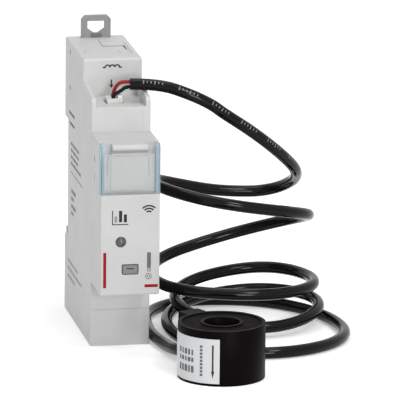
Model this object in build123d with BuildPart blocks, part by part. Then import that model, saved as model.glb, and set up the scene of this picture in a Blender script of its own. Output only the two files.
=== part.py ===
"""One-module energy meter for a 35 mm rail, with a closed ring current sensor on a loosely coiled lead.

The module stands on its base at the origin: +Z up, the front faces -Y, +X to the right.
"""

import os
from math import cos, dist, radians, sin, sqrt, tan

from build123d import *

os.makedirs("parts", exist_ok=True)

# Module housing: outer sizes
WIDTH = 17.6
HEIGHT = 83.3
BODY_DEPTH = 48.5
HEAD_DEPTH = 33.0
NOSE_REACH = 17.25
NOSE_LOW = 19.45
NOSE_HIGH = 64.6
WALL = 1.5
SIDE = WIDTH / 2
REAR = BODY_DEPTH / 2
FRONT = -REAR
HEAD_FRONT = REAR - HEAD_DEPTH
NOSE_FRONT = FRONT - NOSE_REACH
PAST = 1.0  # how far a cut runs past the face that it opens

# Plug recess between the two cheeks, below the head
RECESS_FLOOR = 72.0
CHEEK_REAR_TOP = 76.4
CHEEK_FRONT_TOP = 74.7
CHEEK_WALL = 1.35
CHEEK_ROUND = 1.6

# Rail notch at the rear: 35 mm rail with 1 mm flanges
RAIL_HEIGHT = 35.0
RAIL_CENTRE = 41.6
RAIL_SEAT = REAR - 5.6
FLANGE_GAP = 1.3
LIP_THICK = 2.0
LIP_GRIP = 1.8
NOTCH_LOW = RAIL_CENTRE - RAIL_HEIGHT / 2 - 0.1
NOTCH_HIGH = RAIL_CENTRE + RAIL_HEIGHT / 2 + 0.2

# Front opening that the nose cover plugs into, and the cover's snap tongues
NOSE_OPENING_HALF = 7.2
NOSE_OPENING_LOW = NOSE_LOW + 1.65
NOSE_OPENING_HIGH = NOSE_HIGH - 1.6
TONGUE_X = (-4.0, 6.0)
TONGUE_PLAY = 0.1
TONGUE_THICK = 1.2
TONGUE_ROOT = FRONT - 2.0
TONGUE_TIP = FRONT + 3.0
HOOK_CATCH = 0.6

# Seam between the two housing halves: tight on the front, open across the top
SEAM_FRONT_X = 6.6
SEAM_REAR_Y = 9.6
FRONT_SEAM = 0.02
LATCH_SEAM = 0.08
CROSS_SEAM = 0.25
RIVET_PLACES = [(15.4, 80.4), (15.4, 69.6)]
RIVET_RADIUS = 0.9
RIVET_SINK = 0.3
EDGE_CHAMFER = 0.3
BROW_ROUND = 0.8

# Sunk field in the top face, the pads left in it and the notch in front of the seam
FIELD_X = (-6.9, 7.2)
FIELD_Y = (-2.3, 13.5)
FIELD_DEPTH = 0.25
TOP_PADS = [((3.8, 6.5), (0.6, 3.2)), ((-6.6, -4.1), (1.0, 2.8))]
SEAM_NOTCH_X = (6.1, SEAM_FRONT_X)
SEAM_NOTCH_Y = (4.4, SEAM_REAR_Y)
SEAM_NOTCH_DEPTH = 1.2

# Vents in the left side, as (y, z) spans, and the fine line across the lower front
VENTS = [((6.5, 17.0), (61.6, 62.5)), ((6.5, 16.2), (58.6, 59.5))]
FRONT_LINE_Z = (11.0, 11.2)
FRONT_LINE_DEPTH = 0.15

# Label window, hinged on a barrel along its top edge
WINDOW_LOW = 49.75
WINDOW_HIGH = 61.3
WINDOW_PLATE = 1.2
WINDOW_ARM = 1.2
WINDOW_PLAY = 0.15
ARM_PLAY = 0.1
ARM_BACK = NOSE_FRONT + 2.9
BED_Y = NOSE_FRONT + 1.9
BED_HIGH = 61.2
BED_WALL_BACK = NOSE_FRONT + 4.6
BED_WALL_LOW = 48.2
COVER_WALL = 1.4
COVER_CORNER = 0.5
COVER_EDGE = 0.4
CARD_X = (-5.6, 5.6)
CARD_Z = (50.4, 60.7)
CARD_THICK = 0.25
RIB_X = (5.75, 6.35)
RIB_Z = (55.0, 60.9)
RIB_REACH = 0.5
CLIP_Y = (-30.5, -29.6)
CLIP_SPANS = [(57.0, 59.1), (51.9, 53.5)]
KNUCKLE_RADIUS = 1.2
HINGE_Y = NOSE_FRONT + KNUCKLE_RADIUS
HINGE_Z = NOSE_HIGH - KNUCKLE_RADIUS
HINGE_BACK = ARM_BACK + 0.3
WEB_FRONT = NOSE_FRONT + 1.7
WEB_TOP = NOSE_HIGH - 0.3
WEB_SEAT = 0.3
BARREL_RADIUS = 0.95
BARREL_HALF = 5.3
PIN_RADIUS = 0.5
PIN_PLAY = 0.05
PIN_REACH = 1.4
PIN_BORE_DEPTH = PIN_REACH + 0.2
KNUCKLE_PLAY = 0.15

# Front controls
LED_X = -2.75
LED_Z = 35.5
LENS_RADIUS = 1.6
DOME_HEIGHT = 0.75
LENS_FLANGE = 0.5
LENS_FLANGE_THICK = 0.6
PIPE_RADIUS = 1.3
PIPE_LENGTH = 1.4
BUTTON_X = 0.05
BUTTON_Z = 27.2
BUTTON_WIDTH = 4.7
BUTTON_HEIGHT = 2.85
BUTTON_PLAY = 0.15
BUTTON_CORNER = 0.5
BUTTON_PROUD = 0.15
BUTTON_FLANGE = 0.65
BUTTON_TRAVEL = 0.5
STEM_HALF = 0.9
SWITCH_HALF = 2.9
SWITCH_DEPTH = 3.4
PLUNGER = 1.0

# Circuit board, on edge beside the left wall
BOARD_X = (-6.3, -4.7)
BOARD_Y = (-21.5, 13.5)
BOARD_LOW = 17.5
BOARD_HIGH = 69.5
BOARD_CUT = 3.0
BOARD_TONGUE_Y = NOSE_FRONT + 4.8
BOARD_TONGUE_Z = (24.0, 58.0)
BOARD_PADS = [(10.0, 64.0), (-18.0, 66.0), (10.0, 21.0), (-18.0, 20.5)]
BOARD_PAD_HALF = 1.5

# What the board carries: lamp, radio, supply transformer and capacitor
LED_FRONT = -35.2
LED_BASE_HALF = 1.8
LED_BASE_THICK = 1.6
LED_RADIUS = 1.45
LED_LENGTH = 2.6
RADIO_Y = (-3.0, 12.5)
RADIO_Z = (45.5, 61.0)
RADIO_BOARD = 0.8
SCREEN_Y = (-2.2, 9.0)
SCREEN_MARGIN = 0.8
SCREEN_HEIGHT = 2.2
FERRITE_TOP_X = 6.2
FERRITE_Y = (-4.0, 11.0)
FERRITE_Z = (24.5, 39.5)
FERRITE_LIMB = 2.2
FERRITE_YOKE = 2.5
BOBBIN_CENTRE = (0.7, 3.5)
BOBBIN_SIZE = (10.4, 9.6)
BOBBIN_CORNER = 1.6
CAPACITOR_RADIUS = 4.2
CAPACITOR_Y = (-19.0, -7.0)
CAPACITOR_Z = 50.5

# Rail latch
LATCH_HALF = 4.45
LATCH_THICK = 1.4
LATCH_Y = 22.5
LATCH_TOP = 90.0
HOOK_LOW = 57.2
HOOK_HIGH = 60.4
LATCH_PLAY = 0.15
LATCH_TRAVEL = 2.8
LATCH_CORNER = 1.1
HOOK_LEAD_IN = 1.2
HOOK_PLAY = 0.25
HOOK_HEADROOM = 0.4
LIP_GAP_HALF = 3.4
TOOL_HOLE = [(-2.6, 88.3), (2.6, 88.3), (2.6, 86.0), (0.5, 84.6), (-0.5, 84.6), (-2.6, 86.0)]

# Supply terminals under the base
ENTRY_RADIUS = 2.1
ENTRY_X = 3.75
ENTRY_Y = -12.0
ENTRY_DEPTH = 10.0
RELEASE_Y = ENTRY_Y - 5.6
RELEASE_SLOT = (2.8, 1.2)
TERMINAL_X = (-6.9, 6.5)
TERMINAL_Y = (-20.5, -6.5)
TERMINAL_TOP = 15.0
CLAMP_Y = (-19.0, -7.7)
CLAMP_TOP = 14.4
CLAMP_SHEET = 0.5
CLAMP_HALF = 1.9
CLAMP_PLAY = 0.4

# Two-pole socket and plug
PLUG_X = (-3.3, 1.3)
PLUG_Y = (-19.2, -14.2)
PLUG_TOP = 73.3
PLUG_CORNER = 0.4
PLUG_KEY = 0.7
PLUG_KEY_DEPTH = 0.5
PLUG_GRIP_WIDTH = 1.3
PLUG_GRIP_HEIGHT = 0.9
SOCKET_FLOOR = 65.5
SOCKET_PLAY = 0.2
SOCKET_WALL = 0.9
SOCKET_BASE = 2.0
MOUTH_PLAY = 0.3
CORE_RADIUS = 0.55
CORE_SIDES = 6
CORE_APART = 0.75

# Ring sensor, standing on the same surface as the module
SENSOR_X = 23.3
SENSOR_Y = -63.7
SENSOR_RADIUS = 12.75
SENSOR_HEIGHT = 16.3
BORE_RADIUS = 5.3
CUP_WALL = 1.1
CUP_FLOOR = 1.2
TUBE_WALL = 0.9
BORE_CHAMFER = 0.3
BOSS_ANGLE = 116.0
BOSS_REACH = 17.0
BOSS_WIDTH = 7.6
BOSS_CORNER = 1.2
CORE_RADII = (7.6, 10.3)
CORE_HEIGHTS = (3.4, 11.0)
WINDING_TOP = 13.2
WINDING_PLAY = 0.3
WINDING_GAP = 28
RESIN_SINK = 0.4
LABEL_START = 165.0
LABEL_SWEEP = 92.3
LABEL_THICK = 0.12
LABEL_LOW = 0.8
LABEL_HEIGHT = 13.2

# Lead: jacket end beside the plug, over the right cheek and down to the sensor
CABLE_RADIUS = 1.75
CABLE_SIDES = 6
JACKET_END = (3.7, -17.5, 77.3)
TUBE_END_RUN = 2 * CABLE_RADIUS
FLOOR_Z = CABLE_RADIUS + 0.03
ENTRY_Z = 3.2


def write(part, name):
    """Labels a finished piece and writes it under its own name."""
    part.label = name
    export_step(part, f"parts/{name}.step")


def block(x, y, z, mode=Mode.ADD):
    """Adds or cuts a box that spans the given (low, high) pairs."""
    low, high = Vector(x[0], y[0], z[0]), Vector(x[1], y[1], z[1])
    size = high - low
    with Locations((low + high) / 2):
        Box(size.X, size.Y, size.Z, mode=mode)


def around(centre, half):
    """Pair that spans half on either side of a centre."""
    return (centre - half, centre + half)


def grown(span, amount):
    """Pair that reaches past both ends of a span by an amount."""
    return (span[0] - amount, span[1] + amount)


# Outline of the housing seen from its side, with the rail notch at the rear
LIP_BACK = RAIL_SEAT + FLANGE_GAP + LIP_THICK
body_outline = [
    (REAR, 0),
    (REAR, NOTCH_LOW - 1.6),
    (LIP_BACK, NOTCH_LOW + 0.2),
    (LIP_BACK, NOTCH_LOW + LIP_GRIP),
    (RAIL_SEAT + FLANGE_GAP, NOTCH_LOW + LIP_GRIP),
    (RAIL_SEAT + FLANGE_GAP, NOTCH_LOW),
    (RAIL_SEAT, NOTCH_LOW),
    (RAIL_SEAT, NOTCH_HIGH),
    (REAR, NOTCH_HIGH),
    (REAR, HEIGHT),
    (HEAD_FRONT, HEIGHT),
    (HEAD_FRONT, CHEEK_REAR_TOP),
    (FRONT, CHEEK_FRONT_TOP),
    (FRONT, 0),
]
cavity_outline = [
    (REAR - WALL, WALL),
    (REAR - WALL, NOTCH_LOW - 3.4),
    (RAIL_SEAT - WALL, NOTCH_LOW - WALL),
    (RAIL_SEAT - WALL, HEIGHT - WALL),
    (HEAD_FRONT + WALL, HEIGHT - WALL),
    (HEAD_FRONT + WALL, RECESS_FLOOR - WALL),
    (FRONT + WALL, RECESS_FLOOR - WALL),
    (FRONT + WALL, WALL),
]

# The whole housing before it is parted along the seam
with BuildPart() as housing:
    with BuildSketch(Plane.YZ.offset(-SIDE)):
        Polygon(*body_outline)
    extrude(amount=WIDTH)
    cross_edges = housing.edges().filter_by(Axis.X)
    cheek_corner = cross_edges.filter_by_position(Axis.Z, CHEEK_FRONT_TOP - 0.1, CHEEK_FRONT_TOP + 0.1)
    fillet(cheek_corner, radius=CHEEK_ROUND)
    brow = housing.edges().filter_by(Axis.X).filter_by_position(Axis.Z, HEIGHT - 0.1, HEIGHT + 0.1)
    fillet(brow.sort_by(Axis.Y)[0], radius=BROW_ROUND)
    side_outlines = housing.faces().filter_by(Axis.X).edges()
    top_edges = side_outlines.filter_by_position(Axis.Z, CHEEK_REAR_TOP + 0.1, HEIGHT)
    front_edges = side_outlines.filter_by_position(Axis.Y, FRONT, HEAD_FRONT - 0.1)
    chamfer(top_edges + front_edges, length=EDGE_CHAMFER)
    with BuildSketch(Plane.YZ.offset(-SIDE + WALL)):
        Polygon(*cavity_outline)
    extrude(amount=WIDTH - 2 * WALL, mode=Mode.SUBTRACT)
    # Pads on the left wall that carry the circuit board
    for pad_y, pad_z in BOARD_PADS:
        block((-SIDE + WALL, BOARD_X[0]), around(pad_y, BOARD_PAD_HALF), around(pad_z, BOARD_PAD_HALF))
    # Recess open to the front and top, with the socket opening in its floor
    recess_half = SIDE - CHEEK_WALL
    recess_y = (FRONT - PAST, HEAD_FRONT)
    floor_z = (RECESS_FLOOR - WALL - PAST, RECESS_FLOOR + PAST)
    block((-recess_half, recess_half), recess_y, (RECESS_FLOOR, HEIGHT), Mode.SUBTRACT)
    block(grown(PLUG_X, MOUTH_PLAY), grown(PLUG_Y, MOUTH_PLAY), floor_z, Mode.SUBTRACT)
    # Opening that the nose cover plugs into
    front_wall = (FRONT - PAST, FRONT + WALL + PAST)
    opening_z = (NOSE_OPENING_LOW, NOSE_OPENING_HIGH)
    block((-NOSE_OPENING_HALF, NOSE_OPENING_HALF), front_wall, opening_z, Mode.SUBTRACT)
    # Latch channel down the rear, its hook pocket and the gap between its lips
    channel_x = around(0, LATCH_HALF + LATCH_PLAY)
    channel_y = around(LATCH_Y, LATCH_THICK / 2 + LATCH_PLAY)
    pocket_y = (RAIL_SEAT + FLANGE_GAP - HOOK_PLAY, channel_y[1])
    pocket_z = (NOTCH_HIGH - PAST, HOOK_HIGH + LATCH_TRAVEL + HOOK_HEADROOM)
    rear_z = (NOTCH_HIGH - PAST, HEIGHT + PAST)
    block(channel_x, channel_y, rear_z, Mode.SUBTRACT)
    block(channel_x, pocket_y, pocket_z, Mode.SUBTRACT)
    block(around(0, LIP_GAP_HALF), (LATCH_Y, REAR + PAST), rear_z, Mode.SUBTRACT)
    # Rivet holes through both sides
    with BuildSketch(Plane.YZ.offset(-SIDE)):
        with Locations(*RIVET_PLACES):
            Circle(RIVET_RADIUS)
    extrude(amount=WIDTH, mode=Mode.SUBTRACT)
    # Supply wire entries, and the slots beside them that free the clamps
    with BuildSketch():
        with Locations((-ENTRY_X, ENTRY_Y), (ENTRY_X, ENTRY_Y)):
            Circle(ENTRY_RADIUS)
        with Locations((-ENTRY_X, RELEASE_Y), (ENTRY_X, RELEASE_Y)):
            Rectangle(*RELEASE_SLOT)
    extrude(amount=WALL, mode=Mode.SUBTRACT)
    # Vents in the left side beside the rail
    for vent_y, vent_z in VENTS:
        block((-SIDE - PAST, -SIDE + WALL), vent_y, vent_z, Mode.SUBTRACT)
    # Field sunk into the top, the two pads left in it and the notch in front of the seam
    block(FIELD_X, FIELD_Y, (HEIGHT - FIELD_DEPTH, HEIGHT + PAST), Mode.SUBTRACT)
    for pad_x, pad_y in TOP_PADS:
        block(pad_x, pad_y, (HEIGHT - WALL, HEIGHT))
    block(SEAM_NOTCH_X, SEAM_NOTCH_Y, (HEIGHT - SEAM_NOTCH_DEPTH, HEIGHT + PAST), Mode.SUBTRACT)
    # Fine line across the lower front, where the terminal chamber ends
    block(around(0, SIDE + PAST), (FRONT - PAST, FRONT + FRONT_LINE_DEPTH), FRONT_LINE_Z, Mode.SUBTRACT)

all_z = (-PAST, HEIGHT + PAST)

# Left half: all but the right side and the right rear quarter
with BuildPart() as left_shell:
    add(housing.part)
    block((SEAM_FRONT_X, SIDE + PAST), (FRONT - PAST, REAR + PAST), all_z, Mode.SUBTRACT)
    block((0, SIDE + PAST), (SEAM_REAR_Y, REAR + PAST), all_z, Mode.SUBTRACT)
write(left_shell.part, "left_shell")

with BuildPart() as right_shell:
    add(housing.part)
    side_edge = SEAM_FRONT_X + FRONT_SEAM
    rear_edge = SEAM_REAR_Y + CROSS_SEAM
    block((-SIDE - PAST, side_edge), (FRONT - PAST, rear_edge), all_z, Mode.SUBTRACT)
    block((-SIDE - PAST, LATCH_SEAM), (rear_edge - PAST, REAR + PAST), all_z, Mode.SUBTRACT)
write(right_shell.part, "right_shell")

with BuildPart() as case_rivets:
    with BuildSketch(Plane.YZ.offset(-SIDE + RIVET_SINK)):
        with Locations(*RIVET_PLACES):
            Circle(RIVET_RADIUS)
    extrude(amount=WIDTH - 2 * RIVET_SINK)
write(case_rivets.part, "case_rivets")

# Nose cover seen from its side, with the step of the window bed and the space of the hinge
space_low = WINDOW_LOW - WINDOW_PLAY
cover_outline = [
    (FRONT, NOSE_LOW),
    (NOSE_FRONT, NOSE_LOW),
    (NOSE_FRONT, space_low),
    (BED_Y, space_low),
    (BED_Y, BED_HIGH),
    (HINGE_BACK, BED_HIGH),
    (HINGE_BACK, NOSE_HIGH),
    (FRONT, NOSE_HIGH),
]
cover_cavity = [
    (FRONT, NOSE_LOW + WALL),
    (NOSE_FRONT + WALL, NOSE_LOW + WALL),
    (NOSE_FRONT + WALL, BED_WALL_LOW),
    (BED_WALL_BACK, BED_WALL_LOW),
    (BED_WALL_BACK, NOSE_HIGH - WALL),
    (FRONT, NOSE_HIGH - WALL),
]
hinge_web = [
    (WEB_FRONT, BED_HIGH - WEB_SEAT),
    (HINGE_BACK + WEB_SEAT, BED_HIGH - WEB_SEAT),
    (HINGE_BACK + WEB_SEAT, WEB_TOP),
    (WEB_FRONT, WEB_TOP),
]
cavity_half = SIDE - COVER_WALL
with BuildPart() as front_cover:
    with BuildSketch(Plane.YZ.offset(-SIDE)):
        Polygon(*cover_outline)
    extrude(amount=WIDTH)
    fillet(front_cover.edges().filter_by(Axis.Z).sort_by(Axis.Y)[:2], radius=COVER_CORNER)
    low_edges = front_cover.edges().filter_by(Axis.X).group_by(Axis.Z)[0]
    fillet(low_edges.sort_by(Axis.Y)[0], radius=COVER_EDGE)
    with BuildSketch(Plane.YZ.offset(-cavity_half)):
        Polygon(*cover_cavity)
    extrude(amount=2 * cavity_half, mode=Mode.SUBTRACT)
    # Space for the window's arms along both sides
    arm_in = SIDE - WINDOW_ARM - ARM_PLAY
    for arm_x in ((-SIDE - PAST, -arm_in), (arm_in, SIDE + PAST)):
        block(arm_x, (NOSE_FRONT - PAST, HINGE_BACK), (space_low, NOSE_HIGH + PAST), Mode.SUBTRACT)
    # Hinge barrel on its web, bored at both ends
    with BuildSketch(Plane.YZ.offset(-BARREL_HALF)):
        with Locations((HINGE_Y, HINGE_Z)):
            Circle(BARREL_RADIUS)
        Polygon(*hinge_web)
    extrude(amount=2 * BARREL_HALF)
    for bore_start in (-BARREL_HALF, BARREL_HALF - PIN_BORE_DEPTH):
        with BuildSketch(Plane.YZ.offset(bore_start)):
            with Locations((HINGE_Y, HINGE_Z)):
                Circle(PIN_RADIUS + PIN_PLAY)
        extrude(amount=PIN_BORE_DEPTH, mode=Mode.SUBTRACT)
    # Guide ribs that hold the card's edges
    for rib_x in (RIB_X, (-RIB_X[1], -RIB_X[0])):
        block(rib_x, around(BED_Y, RIB_REACH), RIB_Z)
    # Lens and button holes, and the clip windows in both sides
    with BuildSketch(Plane.XZ.offset(-NOSE_FRONT)):
        with Locations((LED_X, LED_Z)):
            Circle(LENS_RADIUS)
        with Locations((BUTTON_X, BUTTON_Z)):
            RectangleRounded(BUTTON_WIDTH + 2 * BUTTON_PLAY, BUTTON_HEIGHT + 2 * BUTTON_PLAY, BUTTON_CORNER)
    extrude(amount=-WALL, mode=Mode.SUBTRACT)
    for clip_z in CLIP_SPANS:
        block(around(0, SIDE + PAST), CLIP_Y, clip_z, Mode.SUBTRACT)
    # Snap tongues through the front opening, hooked behind its edges
    for edge_z, cover_z, inwards in (
        (NOSE_OPENING_LOW, NOSE_LOW + WALL, 1),
        (NOSE_OPENING_HIGH, NOSE_HIGH - WALL, -1),
    ):
        outer_z = edge_z + TONGUE_PLAY * inwards
        inner_z = outer_z + TONGUE_THICK * inwards
        root_z = cover_z - TONGUE_PLAY * inwards
        block(TONGUE_X, (TONGUE_ROOT, FRONT - TONGUE_PLAY), sorted((root_z, inner_z)))
        block(TONGUE_X, (TONGUE_ROOT, TONGUE_TIP), sorted((outer_z, inner_z)))
        hook_z = sorted((edge_z - HOOK_CATCH * inwards, inner_z))
        block(TONGUE_X, (FRONT + WALL + TONGUE_PLAY, TONGUE_TIP), hook_z)
write(front_cover.part, "front_cover")

# Clear window: plate, two arms, two knuckles and the pins that enter the barrel
knuckle_in = BARREL_HALF + KNUCKLE_PLAY
arm_outline = [
    (NOSE_FRONT, WINDOW_LOW),
    (ARM_BACK, WINDOW_LOW),
    (ARM_BACK, HINGE_Z),
    (NOSE_FRONT, HINGE_Z),
]
knuckle_outline = [
    (NOSE_FRONT, WINDOW_HIGH),
    (NOSE_FRONT + WINDOW_PLATE, WINDOW_HIGH),
    (NOSE_FRONT + WINDOW_PLATE, HINGE_Z),
    (NOSE_FRONT, HINGE_Z),
]
with BuildPart() as label_window:
    block((-SIDE, SIDE), (NOSE_FRONT, NOSE_FRONT + WINDOW_PLATE), (WINDOW_LOW, WINDOW_HIGH))
    for hand in (-1, 1):
        for outline, start_x, reach in (
            (arm_outline, SIDE - WINDOW_ARM, WINDOW_ARM),
            (knuckle_outline, knuckle_in, SIDE - knuckle_in),
        ):
            with BuildSketch(Plane.YZ.offset(hand * start_x)):
                Polygon(*outline)
                with Locations((HINGE_Y, HINGE_Z)):
                    Circle(KNUCKLE_RADIUS)
            extrude(amount=hand * reach)
        with BuildSketch(Plane.YZ.offset(hand * knuckle_in)):
            with Locations((HINGE_Y, HINGE_Z)):
                Circle(PIN_RADIUS)
        extrude(amount=-hand * PIN_REACH)
write(label_window.part, "label_window")

with BuildPart() as label_card:
    block(CARD_X, (BED_Y - CARD_THICK, BED_Y), CARD_Z)
write(label_card.part, "label_card")

# Smoked lens: dome, light pipe and the flange that seats behind the cover wall
wall_back = NOSE_FRONT + WALL
flange_back = wall_back + LENS_FLANGE_THICK
dome_top = (NOSE_FRONT - DOME_HEIGHT, LED_Z)
dome_rim = (NOSE_FRONT, LED_Z + LENS_RADIUS)
with BuildPart() as led_lens:
    with BuildSketch(Plane.YZ.offset(LED_X)):
        with BuildLine():
            Polyline(
                dome_rim,
                (wall_back, LED_Z + LENS_RADIUS),
                (wall_back, LED_Z + LENS_RADIUS + LENS_FLANGE),
                (flange_back, LED_Z + LENS_RADIUS + LENS_FLANGE),
                (flange_back, LED_Z + PIPE_RADIUS),
                (wall_back + PIPE_LENGTH, LED_Z + PIPE_RADIUS),
                (wall_back + PIPE_LENGTH, LED_Z),
                dome_top,
            )
            TangentArc(dome_top, dome_rim, tangent=(0, 1))
        make_face()
    revolve(axis=Axis((LED_X, 0, LED_Z), (0, 1, 0)))
write(led_lens.part, "led_lens")

# Button cap, its flange behind the wall and its stem towards the switch
cap_front = NOSE_FRONT - BUTTON_PROUD
cap_back = wall_back + 0.2
stem_end = NOSE_FRONT + 3.8
with BuildPart() as reset_button:
    with BuildSketch(Plane.XZ.offset(-cap_front)):
        with Locations((BUTTON_X, BUTTON_Z)):
            RectangleRounded(BUTTON_WIDTH, BUTTON_HEIGHT, BUTTON_CORNER)
    extrude(amount=cap_front - cap_back)
    chamfer(reset_button.faces().sort_by(Axis.Y)[0].edges(), length=0.2)
    flange_x = around(BUTTON_X, BUTTON_WIDTH / 2 + BUTTON_FLANGE)
    flange_z = around(BUTTON_Z, BUTTON_HEIGHT / 2 + BUTTON_FLANGE)
    block(flange_x, (wall_back + 0.05, wall_back + 0.75), flange_z)
    block(around(BUTTON_X, STEM_HALF), (wall_back, stem_end), around(BUTTON_Z, STEM_HALF))
write(reset_button.part, "reset_button")

# Circuit board standing beside the left wall, with a tongue into the nose
board_outline = [
    (BOARD_Y[1], BOARD_LOW),
    (BOARD_Y[1], BOARD_HIGH - BOARD_CUT),
    (BOARD_Y[1] - BOARD_CUT, BOARD_HIGH),
    (BOARD_Y[0], BOARD_HIGH),
    (BOARD_Y[0], BOARD_TONGUE_Z[1]),
    (BOARD_TONGUE_Y, BOARD_TONGUE_Z[1]),
    (BOARD_TONGUE_Y, BOARD_TONGUE_Z[0]),
    (BOARD_Y[0], BOARD_TONGUE_Z[0]),
    (BOARD_Y[0], BOARD_LOW),
]
with BuildPart() as main_board:
    with BuildSketch(Plane.YZ.offset(BOARD_X[0])):
        Polygon(*board_outline)
    extrude(amount=BOARD_X[1] - BOARD_X[0])
write(main_board.part, "main_board")

switch_front = stem_end + BUTTON_TRAVEL + PLUNGER + 0.1
with BuildPart() as reset_switch:
    switch_x = (BOARD_X[1], BUTTON_X + SWITCH_HALF)
    block(switch_x, (switch_front, switch_front + SWITCH_DEPTH), around(BUTTON_Z, SWITCH_HALF))
    with BuildSketch(Plane.XZ.offset(-switch_front)):
        with Locations((BUTTON_X, BUTTON_Z)):
            Circle(PLUNGER)
    extrude(amount=PLUNGER)
write(reset_switch.part, "reset_switch")

with BuildPart() as status_led:
    base_y = (LED_FRONT, LED_FRONT + LED_BASE_THICK)
    block((BOARD_X[1], LED_X + LED_BASE_HALF), base_y, around(LED_Z, LED_BASE_HALF))
    with BuildSketch(Plane.XZ.offset(-LED_FRONT)):
        with Locations((LED_X, LED_Z)):
            Circle(LED_RADIUS)
    extrude(amount=LED_LENGTH)
write(status_led.part, "status_led")

# Radio module: a small board under a screening can
with BuildPart() as radio_module:
    screen_low = BOARD_X[1] + RADIO_BOARD
    block((BOARD_X[1], screen_low), RADIO_Y, RADIO_Z)
    block((screen_low, screen_low + SCREEN_HEIGHT), SCREEN_Y, grown(RADIO_Z, -SCREEN_MARGIN))
    chamfer(radio_module.faces().sort_by(Axis.X)[-1].edges(), length=0.3)
write(radio_module.part, "radio_module")

# Supply transformer: a ferrite frame round a wound bobbin
with BuildPart() as supply_transformer:
    winding_z = grown(FERRITE_Z, -FERRITE_YOKE)
    block((BOARD_X[1], FERRITE_TOP_X), FERRITE_Y, FERRITE_Z)
    block((BOARD_X[1], FERRITE_TOP_X), grown(FERRITE_Y, -FERRITE_LIMB), winding_z, Mode.SUBTRACT)
    with BuildSketch(Plane.XY.offset(winding_z[0])) as bobbin:
        with Locations(BOBBIN_CENTRE):
            Rectangle(*BOBBIN_SIZE)
        chamfer(bobbin.vertices(), length=BOBBIN_CORNER)
    extrude(amount=winding_z[1] - winding_z[0])
write(supply_transformer.part, "supply_transformer")

with BuildPart() as smoothing_capacitor:
    with BuildSketch(Plane.XZ.offset(-CAPACITOR_Y[1])):
        with Locations((BOARD_X[1] + CAPACITOR_RADIUS, CAPACITOR_Z)):
            Circle(CAPACITOR_RADIUS)
    extrude(amount=CAPACITOR_Y[1] - CAPACITOR_Y[0])
write(smoothing_capacitor.part, "smoothing_capacitor")

# Supply terminal block on the base, with a wire bore, a slot and a clamp pocket for each pole
with BuildPart() as terminal_block:
    block(TERMINAL_X, TERMINAL_Y, (WALL, TERMINAL_TOP))
    with BuildSketch(Plane.XY.offset(WALL)):
        with Locations((-ENTRY_X, ENTRY_Y), (ENTRY_X, ENTRY_Y)):
            Circle(ENTRY_RADIUS)
        with Locations((-ENTRY_X, RELEASE_Y), (ENTRY_X, RELEASE_Y)):
            Rectangle(*RELEASE_SLOT)
    extrude(amount=ENTRY_DEPTH - WALL, mode=Mode.SUBTRACT)
    pocket_z = (ENTRY_DEPTH, TERMINAL_TOP + PAST)
    for pole_x in (-ENTRY_X, ENTRY_X):
        pocket_x = around(pole_x, CLAMP_HALF + CLAMP_PLAY)
        block(pocket_x, (CLAMP_Y[0] - CLAMP_PLAY, CLAMP_Y[1]), pocket_z, Mode.SUBTRACT)
write(terminal_block.part, "terminal_block")

# Bent leaf clamps: foot, back and a leaf that springs down towards the wire
clamp_outer_line = [
    (CLAMP_Y[1], ENTRY_DEPTH),
    (CLAMP_Y[1], CLAMP_TOP),
    (CLAMP_Y[0], CLAMP_TOP),
    (CLAMP_Y[0], CLAMP_TOP - 2.0),
    (ENTRY_Y - ENTRY_RADIUS, ENTRY_DEPTH + 0.7),
]
with BuildPart() as supply_clamps:
    for pole_x in (-ENTRY_X, ENTRY_X):
        with BuildSketch(Plane.YZ.offset(pole_x - CLAMP_HALF)):
            with BuildLine():
                Polyline(*clamp_outer_line)
                offset(amount=CLAMP_SHEET, kind=Kind.INTERSECTION, side=Side.LEFT)
            make_face()
        extrude(amount=2 * CLAMP_HALF)
write(supply_clamps.part, "supply_clamps")

# Socket under the recess floor, and the plug that stands in it
with BuildPart() as coil_socket:
    bore_x, bore_y = grown(PLUG_X, SOCKET_PLAY), grown(PLUG_Y, SOCKET_PLAY)
    socket_z = (SOCKET_FLOOR - SOCKET_BASE, RECESS_FLOOR - WALL)
    block(grown(bore_x, SOCKET_WALL), grown(bore_y, SOCKET_WALL), socket_z)
    block(bore_x, bore_y, (SOCKET_FLOOR, RECESS_FLOOR), Mode.SUBTRACT)
write(coil_socket.part, "coil_socket")

with BuildPart() as coil_plug:
    block(PLUG_X, PLUG_Y, (SOCKET_FLOOR, PLUG_TOP))
    fillet(coil_plug.edges().filter_by(Axis.Z), radius=PLUG_CORNER)
    key_y = (PLUG_Y[0] - PAST, PLUG_Y[0] + PLUG_KEY_DEPTH)
    block(grown(PLUG_X, -PLUG_KEY), key_y, (RECESS_FLOOR - 2, PLUG_TOP), Mode.SUBTRACT)
    grip_x = (PLUG_X[1] - PLUG_GRIP_WIDTH, PLUG_X[1])
    block(grip_x, grown(PLUG_Y, -PLUG_GRIP_HEIGHT), (PLUG_TOP, PLUG_TOP + PLUG_GRIP_HEIGHT))
write(coil_plug.part, "coil_plug")

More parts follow.
